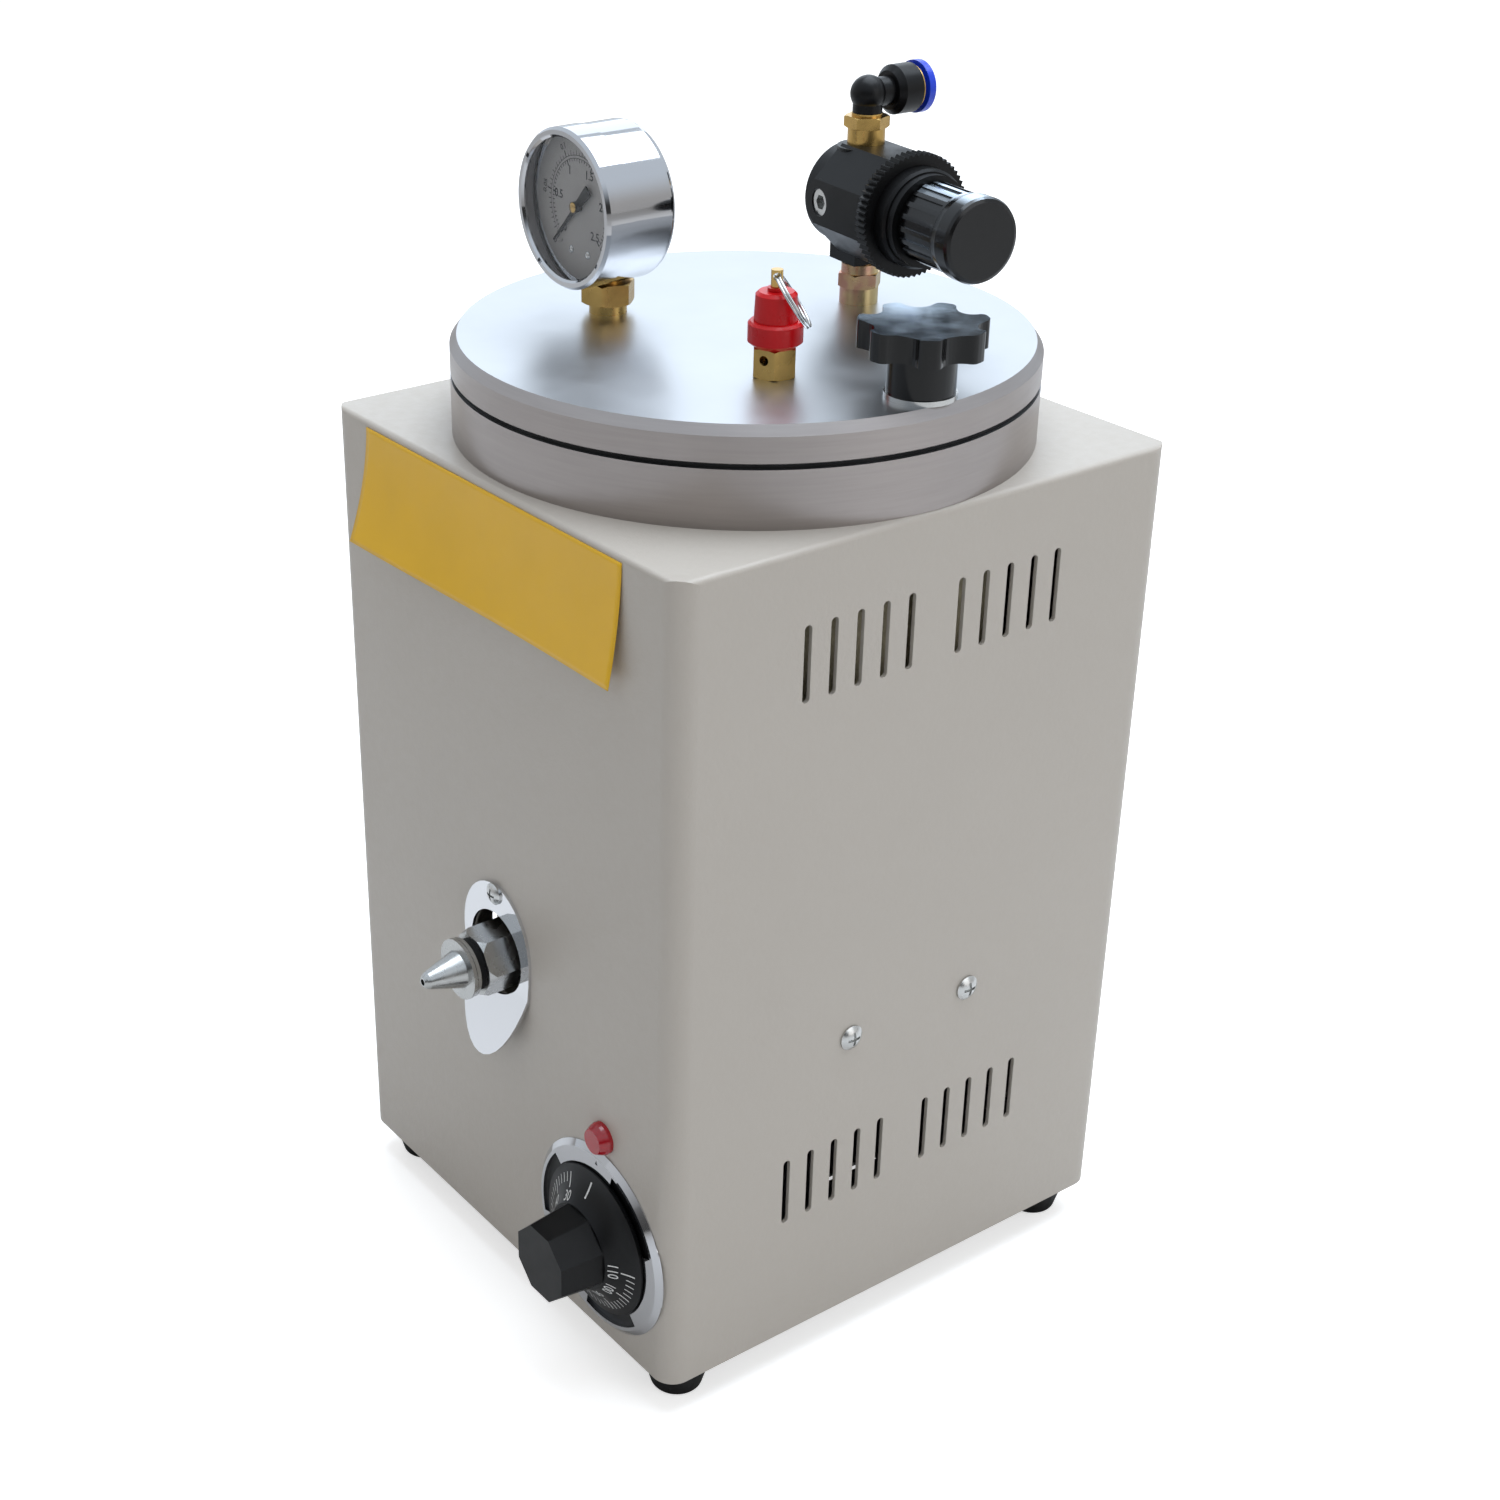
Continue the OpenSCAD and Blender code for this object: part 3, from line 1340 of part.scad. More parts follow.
module inlet_fitting() {
    color("#B8923C") at_regulator() difference() {
        union() {
            translate([0, 0, body_top_z - 7]) cylinder(h = fitting_hex_z - body_top_z + 7 + eps,
                r = fitting_thread_r);
            translate([0, 0, fitting_hex_z]) turned_hex(fitting_hex_r, fitting_hex_h);
            translate([0, 0, fitting_hex_z + 1])
                cylinder(h = fitting_hex_h + fitting_ring_h - 1, r = fitting_ring_r);
        }
        translate([0, 0, body_top_z - 8]) cylinder(h = 40, r = elbow_plug_r + run_gap);
    }
}

module push_elbow() {
    plug_z = fitting_hex_z - 4;
    stem_z = fitting_hex_z + fitting_hex_h + fitting_ring_h + 0.1;
    color("#15161A") difference() {
        union() {
            at_regulator() {
                translate([0, 0, plug_z]) cylinder(h = elbow_z - plug_z, r = elbow_plug_r);
                translate([0, 0, stem_z]) cylinder(h = elbow_z - stem_z, r = elbow_stem_r);
                translate([0, 0, elbow_z]) sphere(elbow_corner_r);
            }
            along_elbow() {
                cylinder(h = elbow_neck_at + 1, r = elbow_stem_r - 0.2);
                translate([0, 0, elbow_neck_at]) rotate_extrude() polygon([
                    [0, 0], [elbow_neck_r, 0], [elbow_r, 2], [elbow_r, elbow_reach - elbow_neck_at],
                    [0, elbow_reach - elbow_neck_at]
                ]);
            }
        }
        along_elbow() translate([0, 0, elbow_grip_at]) cylinder(h = 40, r = hose_r + 1.4);
        along_elbow() translate([0, 0, -1]) cylinder(h = elbow_grip_at + 2, r = air_r + 0.4);
        at_regulator() translate([0, 0, plug_z - 1]) cylinder(h = elbow_z - plug_z + 1, r = air_r);
    }
}

module collet_ring() {
    color("#C79A5A") along_elbow() translate([0, 0, elbow_reach])
        tube(elbow_r - 0.5, hose_r + 1.4, 0.8);
}

module release_collar() {
    color("#1F52D6") along_elbow() translate([0, 0, elbow_reach + 0.8 + collar_travel])
        difference() {
            union() {
                cylinder(h = collar_h, r = collar_r);
                translate([0, 0, -collar_tube_len])
                    cylinder(h = collar_tube_len + eps, r = hose_r + 1.3);
            }
            translate([0, 0, -collar_tube_len - 1]) cylinder(h = 20, r = hose_r + 0.1);
        }
}

// ---------------------------------------------------------------- assembly

housing_shell();
base_plate();
rubber_feet();
foot_screws();
side_screws();
support_shelf();
wax_pot();
pot_insulation();
heater_plate();
lid_gasket();
nozzle_barrel();
nozzle_spring();
nozzle_piston();
nozzle_disc();
nozzle_tip();
valve_poppet();
drip_plate();
drip_plate_screw();
thermostat_body();
thermostat_screws();
sensing_bulb();
dial_backplate();
dial_bezel();
thermostat_shaft();
thermostat_knob();
lamp_body();
lamp_lens();
power_inlet();
inlet_pins();
inlet_screws();
lid();
clamp_washer();
clamp_stud();
star_knob();
gauge_stem();
gauge_case();
gauge_bezel();
gauge_glass();
gauge_dial();
bourdon_tube();
gauge_movement();
gauge_pointer();
relief_body();
relief_bonnet();
relief_spring();
relief_stem();
pull_ring();
regulator_nipple();
regulator_body();
regulator_bonnet();
panel_nut();
port_plugs();
regulator_adjuster();
regulator_knob();
inlet_fitting();
push_elbow();
collet_ring();
release_collar();
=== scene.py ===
"""Looks of a bench-top jewelry wax injector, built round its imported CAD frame. Metres, +Z up."""
import json
import math

import bmesh
import bpy
from mathutils import Matrix, Vector
from mathutils.bvhtree import BVHTree

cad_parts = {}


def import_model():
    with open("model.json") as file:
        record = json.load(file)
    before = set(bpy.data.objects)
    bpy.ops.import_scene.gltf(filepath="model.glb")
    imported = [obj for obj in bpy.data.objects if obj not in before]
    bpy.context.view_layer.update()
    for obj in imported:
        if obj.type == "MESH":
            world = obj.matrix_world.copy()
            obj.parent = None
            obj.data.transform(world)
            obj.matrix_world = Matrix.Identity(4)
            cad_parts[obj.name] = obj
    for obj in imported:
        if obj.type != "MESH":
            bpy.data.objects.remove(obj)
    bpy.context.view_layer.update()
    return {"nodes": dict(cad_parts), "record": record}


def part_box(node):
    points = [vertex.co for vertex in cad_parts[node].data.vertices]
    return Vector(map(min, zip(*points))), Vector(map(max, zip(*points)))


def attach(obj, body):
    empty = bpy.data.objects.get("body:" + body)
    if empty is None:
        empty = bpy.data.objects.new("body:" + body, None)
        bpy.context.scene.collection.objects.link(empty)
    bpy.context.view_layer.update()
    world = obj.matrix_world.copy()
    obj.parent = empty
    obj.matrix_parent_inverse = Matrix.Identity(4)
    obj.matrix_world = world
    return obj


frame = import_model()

NODES = frame["nodes"]
MM = 0.001


# ------------------------------------------------------------------ places taken from the frame

def middle(node):
    low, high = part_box(node)
    return (low + high) / 2


def front_of(node):
    """The y of a node's front, which looks along -Y."""
    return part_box(node)[0].y


CASE = middle("housing_shell")
FRONT_Y = front_of("housing_shell")
LID = middle("lid")
DIAL = middle("dial_bezel")
GAUGE = middle("gauge_bezel")


# ------------------------------------------------------------------ camera

# Where the photograph was taken from, measured from the middle of the cabinet's footprint
CAMERA_FROM_CASE = Vector((0.59886, -0.4845, 0.58536))
CAMERA_YAW = math.radians(54.58)
CAMERA_PITCH = math.radians(27.15)
CAMERA_ROLL = math.radians(0.14)
CAMERA_LENS_MM = 56.76
CAMERA_SHIFT_X = 0.0977


def make_camera():
    data = bpy.data.cameras.new("photo_camera")
    data.sensor_width = 36
    data.lens = CAMERA_LENS_MM
    data.shift_x = CAMERA_SHIFT_X
    data.clip_start = 0.01
    data.clip_end = 60
    camera = bpy.data.objects.new("photo_camera", data)
    bpy.context.scene.collection.objects.link(camera)
    place = Vector((CASE.x, CASE.y, 0)) + CAMERA_FROM_CASE
    turn = (Matrix.Rotation(CAMERA_YAW, 4, "Z") @ Matrix.Rotation(math.pi / 2 - CAMERA_PITCH, 4, "X")
            @ Matrix.Rotation(-CAMERA_ROLL, 4, "Z"))
    camera.matrix_world = Matrix.Translation(place) @ turn
    bpy.context.scene.camera = camera


# ------------------------------------------------------------------ materials

def set_range(map_range, *limits):
    for key, number in zip(("From Min", "From Max", "To Min", "To Max"), limits):
        map_range.inputs[key].default_value = number


class Finish:
    """A node material round one Principled shader."""

    def __init__(self, name, colour, rough, metal=0.0, **inputs):
        self.material = bpy.data.materials.new(name)
        self.material.use_nodes = True
        self.tree = self.material.node_tree
        self.shader = self.tree.nodes["Principled BSDF"]
        self.colour = tuple(colour)
        self.shader.inputs["Base Color"].default_value = (*colour, 1)
        self.shader.inputs["Roughness"].default_value = rough
        self.shader.inputs["Metallic"].default_value = metal
        self.rough = rough
        for key, value in inputs.items():
            self.shader.inputs[key.replace("_", " ")].default_value = value
        self.place = self.node("ShaderNodeTexCoord").outputs["Object"]
        self.bumped = None

    def node(self, kind, **settings):
        made = self.tree.nodes.new(kind)
        for key, value in settings.items():
            setattr(made, key, value)
        return made

    def link(self, source, target):
        self.tree.links.new(source, target)

    def stretched(self, scale):
        mapping = self.node("ShaderNodeMapping")
        mapping.inputs["Scale"].default_value = scale
        self.link(self.place, mapping.inputs["Vector"])
        return mapping.outputs["Vector"]

    def noise(self, scale, detail=3.0, stretch=None):
        made = self.node("ShaderNodeTexNoise")
        made.inputs["Scale"].default_value = scale
        made.inputs["Detail"].default_value = detail
        self.link(self.stretched(stretch) if stretch else self.place, made.inputs["Vector"])
        return made.outputs["Fac"]

    def ramp(self, value, low, high, out_low, out_high):
        made = self.node("ShaderNodeMapRange")
        set_range(made, low, high, out_low, out_high)
        self.link(value, made.inputs["Value"])
        return made.outputs["Result"]

    def bump(self, height, strength, depth):
        made = self.node("ShaderNodeBump")
        made.inputs["Strength"].default_value = strength
        made.inputs["Distance"].default_value = depth
        self.link(height, made.inputs["Height"])
        if self.bumped:
            self.link(self.bumped, made.inputs["Normal"])
        self.bumped = made.outputs["Normal"]
        self.link(self.bumped, self.shader.inputs["Normal"])
        return self

    def vary_rough(self, value, spread):
        self.link(self.ramp(value, 0.3, 0.7, self.rough - spread, self.rough + spread),
                  self.shader.inputs["Roughness"])
        return self

    def vary_colour(self, value, darker=0.9, low=0.3, high=0.7, other=None):
        """Mixes a darker shade, or another colour, into the finish's own."""
        mix = self.node("ShaderNodeMix", data_type="RGBA")
        mix.inputs["A"].default_value = (*(other or [c * darker for c in self.colour]), 1)
        mix.inputs["B"].default_value = (*self.colour, 1)
        self.link(self.ramp(value, low, high, 0, 1), mix.inputs["Factor"])
        self.link(mix.outputs["Result"], self.shader.inputs["Base Color"])
        return self

    def upward(self, low, high):
        """0 on upright faces and 1 on faces that look up."""
        split = self.node("ShaderNodeSeparateXYZ")
        self.link(self.node("ShaderNodeNewGeometry").outputs["Normal"], split.inputs[0])
        return self.ramp(split.outputs["Z"], low, high, 0, 1)

    def other_above(self, upward, colour):
        """Paints another colour on the faces that look up, for painted light from above."""
        mix = self.node("ShaderNodeMix", data_type="RGBA")
        self.link(upward, mix.inputs["Factor"])
        self.link(self.shader.inputs["Base Color"].links[0].from_socket, mix.inputs["A"])
        mix.inputs["B"].default_value = (*colour, 1)
        self.link(mix.outputs["Result"], self.shader.inputs["Base Color"])
        return self


def srgb(red, green, blue):
    """A screen colour, 0 to 255, as the linear values that the shader takes."""
    def linear(c):
        c = c / 255
        return c / 12.92 if c <= 0.04045 else ((c + 0.055) / 1.055) ** 2.4
    return linear(red), linear(green), linear(blue)


def radius_from(finish, centre):
    """Distance from an upright axis, for marks left by turning."""
    apart = finish.node("ShaderNodeVectorMath", operation="SUBTRACT")
    finish.link(finish.place, apart.inputs[0])
    apart.inputs[1].default_value = centre
    flat = finish.node("ShaderNodeVectorMath", operation="MULTIPLY")
    finish.link(apart.outputs[0], flat.inputs[0])
    flat.inputs[1].default_value = (1, 1, 0)
    length = finish.node("ShaderNodeVectorMath", operation="LENGTH")
    finish.link(flat.outputs[0], length.inputs[0])
    return length.outputs["Value"]


def turned_rings(finish, centre, spacing):
    noise = finish.node("ShaderNodeTexNoise", noise_dimensions="1D")
    noise.inputs["Scale"].default_value = 1 / spacing
    noise.inputs["Detail"].default_value = 4
    finish.link(radius_from(finish, centre), noise.inputs["W"])
    return noise.outputs["Fac"]


def paint():
    f = Finish("cabinet_paint", srgb(186, 179, 170), 0.42, Specular_IOR_Level=0.45)
    f.bump(f.noise(520, 2.0), 0.55, 0.00022)
    f.bump(f.noise(1500, 2.0), 0.35, 0.0001)
    f.vary_rough(f.noise(260, 3.0), 0.07)
    return f.vary_colour(f.noise(9, 4.0), 0.975).material


def plate_steel():
    f = Finish("sheet_steel", srgb(150, 150, 148), 0.45, 0.9)
    f.vary_rough(f.noise(60, 5.0, (1, 12, 1)), 0.1)
    return f.bump(f.noise(700, 2.0, (1, 14, 1)), 0.15, 0.0001).material


def rubber(name, shade):
    f = Finish(name, srgb(shade, shade, shade), 0.6, Specular_IOR_Level=0.25)
    f.bump(f.noise(1300, 3.0), 0.25, 0.0001)
    return f.vary_rough(f.noise(80), 0.1).material


def turned_aluminium():
    # Colour of the faces that look up: a painted sheen of the light from above
    painted_top_sheen = srgb(186, 188, 191)
    f = Finish("pot_aluminium", srgb(167, 160, 157), 0.34, 1.0)
    f.bump(turned_rings(f, LID, 0.0006), 0.12, 0.00005)
    f.bump(f.noise(1, 2.0, (25, 25, 2600)), 0.22, 0.00006)
    f.vary_rough(f.noise(28, 5.0), 0.05)
    f.vary_colour(f.noise(1, 3.0, (40, 40, 900)), 0.93)
    # The faces that look up are painted whiter and cooler than the turned sides, a painted sheen of the
    # light from above
    f.other_above(f.upward(0.75, 0.97), painted_top_sheen)
    return f.material


def bright_steel(name, shade, rough, lines=(1, 1, 1)):
    """Steel with a fine grain, drawn into lines where the scales in lines differ."""
    f = Finish(name, srgb(shade, shade, shade - 2), rough, 1.0)
    f.bump(f.noise(900, 3.0, lines), 0.1, 0.00005)
    f.vary_rough(f.noise(140, 4.0), 0.06)
    return f.vary_colour(f.noise(60, 4.0), 0.9).material


def mirror(name, shade, rough):
    f = Finish(name, srgb(shade, shade, shade + 2), rough, 1.0)
    f.vary_rough(f.noise(45, 5.0), 0.025)
    return f.bump(f.noise(30, 2.0), 0.04, 0.0003).material


def turned_yellow(name, colour, rough):
    """Brass or copper, with fine marks round an upright axis and a dull patch here and there."""
    f = Finish(name, srgb(*colour), rough, 1.0)
    f.bump(f.noise(1, 3.0, (160, 160, 1900)), 0.12, 0.00006)
    f.vary_rough(f.noise(90, 5.0), 0.09)
    return f.vary_colour(f.noise(120, 4.0), 0.74).material


def zinc_yellow():
    """Passivated zinc, which turns from yellow to pink."""
    f = Finish("zinc_yellow", srgb(214, 190, 138), 0.3, 1.0)
    f.vary_rough(f.noise(70, 4.0), 0.07)
    return f.vary_colour(f.noise(95, 2.0), low=0.42, high=0.6, other=srgb(196, 148, 128)).material


def plastic(name, colour, rough, grain=0.12, grain_scale=1600, mottled=0.85, **inputs):
    f = Finish(name, srgb(*colour), rough, **inputs)
    f.bump(f.noise(grain_scale, 2.0), grain, 0.00006)
    f.vary_rough(f.noise(110, 4.0), 0.05)
    return f.vary_colour(f.noise(40, 3.0), mottled).material


def moulded_gloss():
    """Black gloss plastic whose upper faces are painted a pale blue-grey and made metallic, a painted
    reflection of the bright room above.
    """
    f = Finish("black_gloss", srgb(11, 11, 12), 0.2, Specular_IOR_Level=0.3, Coat_Weight=0.2,
               Coat_Roughness=0.12)
    f.bump(f.noise(1600, 2.0), 0.05, 0.00006)
    f.vary_rough(f.noise(110, 4.0), 0.05)
    f.vary_colour(f.noise(40, 3.0), 0.85)
    # Painted reflection: the faces that look up take a pale blue-grey and turn metallic
    upward = f.upward(0.86, 0.99)
    f.other_above(upward, (0.62, 0.72, 0.82))
    f.link(upward, f.shader.inputs["Metallic"])
    return f.material


def window():
    """A thin clear pane, let through by its alpha so that the dial behind it stays sharp."""
    f = Finish("gauge_glass", srgb(170, 172, 174), 0.03, Alpha=0.1)
    return f.vary_rough(f.noise(20), 0.01).material


def wool():
    f = Finish("wool", srgb(196, 188, 160), 0.95)
    f.bump(f.noise(420, 6.0), 0.8, 0.0012)
    return f.vary_colour(f.noise(160, 5.0), 0.75).material


MATERIALS = {
    "cabinet_paint": paint(),
    "sheet_steel": plate_steel(),
    "foot_rubber": rubber("foot_rubber", 12),
    "screw_steel": bright_steel("screw_steel", 205, 0.24),
    "pot_aluminium": turned_aluminium(),
    "wool": wool(),
    "heater_iron": plastic("heater_iron", (92, 88, 84), 0.7, 0.5, 500),
    "gasket_rubber": rubber("gasket_rubber", 12),
    "nozzle_steel": bright_steel("nozzle_steel", 186, 0.27, (160, 1, 160)),
    "piston_rubber": rubber("piston_rubber", 16),
    "polished_steel": mirror("polished_steel", 222, 0.07),
    "brass": turned_yellow("brass", (214, 176, 104), 0.27),
    "zinc_yellow": zinc_yellow(),
    "black_plastic": plastic("black_plastic", (13, 13, 14), 0.36, Specular_IOR_Level=0.22),
    "black_gloss": moulded_gloss(),
    "chrome": mirror("chrome", 192, 0.07),
    "lamp_red": plastic("lamp_red", (178, 18, 34), 0.16, 0.02, Coat_Weight=0.4),
    "valve_red": plastic("valve_red", (202, 8, 18), 0.3, 0.04, Specular_IOR_Level=0.35),
    "gauge_glass": window(),
    # The dial's white is set greyer than the dial is, as painted shade for the dial sunk under its glass
    "dial_white": plastic("dial_white", (184, 181, 179), 0.5, 0.03),
    "copper": turned_yellow("copper", (184, 122, 84), 0.3),
    "blue_plastic": plastic("blue_plastic", (22, 66, 220), 0.28, 0.04),
}


MARK_WHITE = plastic("mark_white", (222, 222, 220), 0.5, 0.03)
MARK_BLACK = plastic("mark_black", (22, 22, 24), 0.5, 0.03)
LABEL_YELLOW = plastic("label_yellow", (234, 183, 26), 0.36, 0.1, 700, mottled=0.95)


def dress_frame():
    """Each CAD node gets the material of its record slot."""
    for part in frame["record"]["subparts"]:
        node = NODES[part["node"]]
        node.data.materials.clear()
        node.data.materials.append(MATERIALS[part["material_slot"]])


# ------------------------------------------------------------------ mesh helpers

def piece(name, verts, faces, material, body, smooth=False):
    """A mesh in metres that rides on a body, in a material of its own or in a slot's."""
    mesh = bpy.data.meshes.new(name)
    mesh.from_pydata([tuple(v) for v in verts], [], faces)
    work = bmesh.new()
    work.from_mesh(mesh)
    bmesh.ops.remove_doubles(work, verts=work.verts, dist=1e-7)
    bmesh.ops.recalc_face_normals(work, faces=work.faces)
    work.to_mesh(mesh)
    work.free()
    mesh.validate()
    for face in mesh.polygons:
        face.use_smooth = smooth
    made = bpy.data.objects.new(name, mesh)
    bpy.context.scene.collection.objects.link(made)
    mesh.materials.append(MATERIALS[material] if isinstance(material, str) else material)
    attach(made, body)


def joined(parts):
    """Several lists of corners and faces as one."""
    verts, faces = [], []
    for more_verts, more_faces in parts:
        start = len(verts)
        verts += more_verts
        faces += [[i + start for i in face] for face in more_faces]
    return verts, faces


def mark(outline):
    """A flat outline in x and y as one face."""
    return [(x, y, 0) for x, y in outline], [list(range(len(outline)))]


def lathe(profile, steps):
    """A closed profile of radius and height turned about Z."""
    n = len(profile)
    verts, faces = [], []
    for i in range(steps):
        a = 2 * math.pi * i / steps
        verts += [(r * math.cos(a), r * math.sin(a), z) for r, z in profile]
        for j in range(n):
            k = (j + 1) % n
            after = (i + 1) % steps
            faces.append([i * n + j, i * n + k, after * n + k, after * n + j])
    return verts, faces


def ray_bar(angle, r_in, r_out, width):
    """The four corners of a short line that points away from the centre."""
    c, s = math.cos(angle), math.sin(angle)
    return [(r * c - side * width / 2 * s, r * s + side * width / 2 * c)
            for r, side in ((r_in, -1), (r_out, -1), (r_out, 1), (r_in, 1))]


def arc_band(r, width, start, end, steps):
    """The outline of a band that follows an arc, out along its inner edge and back along its outer."""
    outline = []
    for radius, order in ((r - width / 2, range(steps + 1)), (r + width / 2, range(steps, -1, -1))):
        outline += [(radius * math.cos(start + (end - start) * i / steps),
                     radius * math.sin(start + (end - start) * i / steps)) for i in order]
    return outline


FONT_FOR_DIGIT = 1.35  # a font's size for digits of height 1


def number_mesh(text, height, bold):
    """A number's flat faces, centred on the origin."""
    curve = bpy.data.curves.new("number", "FONT")
    curve.body = text
    curve.size = height * FONT_FOR_DIGIT
    curve.offset = bold
    curve.align_x, curve.align_y = "CENTER", "CENTER"
    curve.resolution_u = 3
    holder = bpy.data.objects.new("number", curve)
    mesh = bpy.data.meshes.new_from_object(holder)
    verts = [tuple(v.co) for v in mesh.vertices]
    faces = [list(f.vertices) for f in mesh.polygons]
    bpy.data.meshes.remove(mesh)
    bpy.data.objects.remove(holder)
    bpy.data.curves.remove(curve)
    return verts, faces


def moved(shape, matrix):
    verts, faces = shape
    return [tuple(matrix @ Vector(v)) for v in verts], faces


def on_dial(angle, r, upright=False):
    """Places a flat shape at an angle on a dial, upright or with its top pointing out."""
    turn = -angle if upright else -math.pi / 2
    return (Matrix.Rotation(angle, 4, "Z") @ Matrix.Translation((r, 0, 0))
            @ Matrix.Rotation(turn, 4, "Z"))


def out_of_front(x, y, z):
    """From a face's own axes, +Z out towards -Y and +Y up, to the part's frame."""
    return Matrix.Translation((x, y, z)) @ Matrix.Rotation(math.pi / 2, 4, "X")


def cut_fine(shape, step):
    """Splits flat faces on a grid, so that they can follow a curved surface."""
    mesh = bpy.data.meshes.new("cut")
    mesh.from_pydata(shape[0], [], shape[1])
    work = bmesh.new()
    work.from_mesh(mesh)
    for axis in (0, 1):
        low = min(v.co[axis] for v in work.verts)
        high = max(v.co[axis] for v in work.verts)
        normal = Vector((axis == 0, axis == 1, 0))
        at = low + step
        while at < high:
            bmesh.ops.bisect_plane(work, geom=work.verts[:] + work.edges[:] + work.faces[:],
                                   plane_co=normal * at, plane_no=normal)
            at += step
    work.verts.index_update()
    verts = [tuple(v.co) for v in work.verts]
    faces = [[v.index for v in f.verts] for f in work.faces]
    work.free()
    bpy.data.meshes.remove(mesh)
    return verts, faces


PRINT_FROM = 0.05  # how far in front of a surface the rays start that find it


def printed(name, shape, place, node, material, body, lift=0.04 * MM):
    """A flat shape laid on a node's surface, seen along the place's own Z axis."""
    mesh = NODES[node].data
    tree = BVHTree.FromPolygons([v.co for v in mesh.vertices], [f.vertices for f in mesh.polygons])
    down = -(place.to_3x3() @ Vector((0, 0, 1)))
    verts = []
    for v in shape[0]:
        start = place @ Vector((v[0], v[1], PRINT_FROM))
        hit = tree.ray_cast(start, down)[0]
        verts.append(hit - down * lift if hit else place @ Vector(v))
    piece(name, verts, shape[1], material, body)


# ------------------------------------------------------------------ thermostat

DIAL_PLACE = out_of_front(DIAL.x, FRONT_Y, DIAL.z)
SCALE_TOP = 110
SCALE_LOW = 30
SCALE_STEP = 2
SCALE_NUMBERED = 10
SCALE_TURN = math.radians(3)  # for each degree of temperature, clockwise from the right
SCALE_OUTER_R = 25.3 * MM
SCALE_LONG = (20.4 * MM, 0.55 * MM)  # inner radius and width of a numbered line
SCALE_SHORT = (22.2 * MM, 0.4 * MM)
SCALE_NUMBER_R = 17.9 * MM
SCALE_NUMBER_H = 3.2 * MM
SCALE_NUMBER_BOLD = 0.02 * MM
OFF_LINE = (19.4 * MM, 25 * MM, 0.75 * MM)  # inner and outer radius, width
SKIRT_GRID = 0.9 * MM  # the marks are cut this fine, to follow the knob's sloping skirt
BEZEL_MARK = ((-0.7, 31.6), (0.7, 31.6), (0, 33.2))  # a small triangle above the knob, in mm


def scale_angle(value):
    return -(SCALE_TOP - value) * SCALE_TURN


def knob_scale():
    shapes = []
    for value in range(SCALE_LOW, SCALE_TOP + 1, SCALE_STEP):
        inner_r, width = SCALE_SHORT if value % SCALE_NUMBERED else SCALE_LONG
        shapes.append(mark(ray_bar(scale_angle(value), inner_r, SCALE_OUTER_R, width)))
    for value in range(SCALE_LOW, SCALE_TOP + 1, SCALE_NUMBERED):
        shapes.append(moved(number_mesh(str(value), SCALE_NUMBER_H, SCALE_NUMBER_BOLD),
                            on_dial(scale_angle(value), SCALE_NUMBER_R)))
    shapes.append(mark(ray_bar(math.pi / 2, *OFF_LINE)))
    printed("knob_scale", cut_fine(joined(shapes), SKIRT_GRID), DIAL_PLACE, "thermostat_knob",
            MARK_WHITE, "temperature_knob")


def bezel_mark():
    triangle = mark([(x * MM, y * MM) for x, y in BEZEL_MARK])
    printed("bezel_mark", triangle, DIAL_PLACE, "dial_bezel", MARK_BLACK, "base")


# ------------------------------------------------------------------ pressure gauge

GAUGE_FRONT = front_of("gauge_bezel")
GAUGE_PLACE = out_of_front(GAUGE.x, GAUGE_FRONT, GAUGE.z)
GAUGE_START = math.radians(225)
GAUGE_SWEEP = math.radians(-270)
GAUGE_FULL = 2.5  # of the large numbers; the small ones are a tenth of them
GAUGE_STEPS = 50
GAUGE_NUMBERED = 10  # steps from one number to the next
GAUGE_SCALE_R = 16.2 * MM
GAUGE_RING_GAP = 0.5 * MM  # from that radius to each of the two rings
GAUGE_RING_W = 0.2 * MM
GAUGE_RING_STEPS = 90
GAUGE_INNER_WIDTHS = (0.55 * MM, 0.34 * MM)  # of lines with a number, and of the others
GAUGE_OUTER_WIDTHS = (0.45 * MM, 0.28 * MM)
GAUGE_NUMBERS_R = 12.3 * MM
GAUGE_NUMBERS = (3 * MM, 0.09 * MM)  # height, and how much bolder than the font
GAUGE_SMALL_NUMBERS_R = 20.4 * MM
GAUGE_SMALL_NUMBERS = (2 * MM, 0.05 * MM)
GAUGE_LIFT = 0.03 * MM
RIVET_HEAD = ((0.0, 0.55), (0.8, 0.5), (1.25, 0.3), (1.4, 0.0), (0.0, 0.0))  # radius and height, mm
RIVET_ANGLES = (-108, -73.5)  # in degrees, from the right
RIVET_R = 16.2 * MM
STOP_PIN = ((0, 1.6), (0.45, 1.6), (0.45, 0), (0, 0))  # likewise
STOP_PIN_R = 17.3 * MM
STOP_PIN_PAST = 0.12  # how far past zero the hand's stop stands, in radians
HAND_CAP = ((0, 0.35), (1.5, 0.35), (1.75, 0.1), (1.75, -0.9), (0, -0.9))  # likewise


def gauge_angle(value):
    return GAUGE_START + GAUGE_SWEEP * value / GAUGE_FULL


def gauge_tick(step, start_r, length, widths):
    """One line of the scale, wider where it has a number."""
    width = widths[0] if step % GAUGE_NUMBERED == 0 else widths[1]
    ends = sorted((start_r, start_r + length))
    return mark(ray_bar(gauge_angle(step * GAUGE_FULL / GAUGE_STEPS), *ends, width))


def gauge_ring(r):
    steps = GAUGE_RING_STEPS
    band = arc_band(r, GAUGE_RING_W, gauge_angle(0), gauge_angle(GAUGE_FULL), steps)
    quads = [[i, i + 1, 2 * steps - i, 2 * steps + 1 - i] for i in range(steps)]
    return [(x, y, 0) for x, y in band], quads


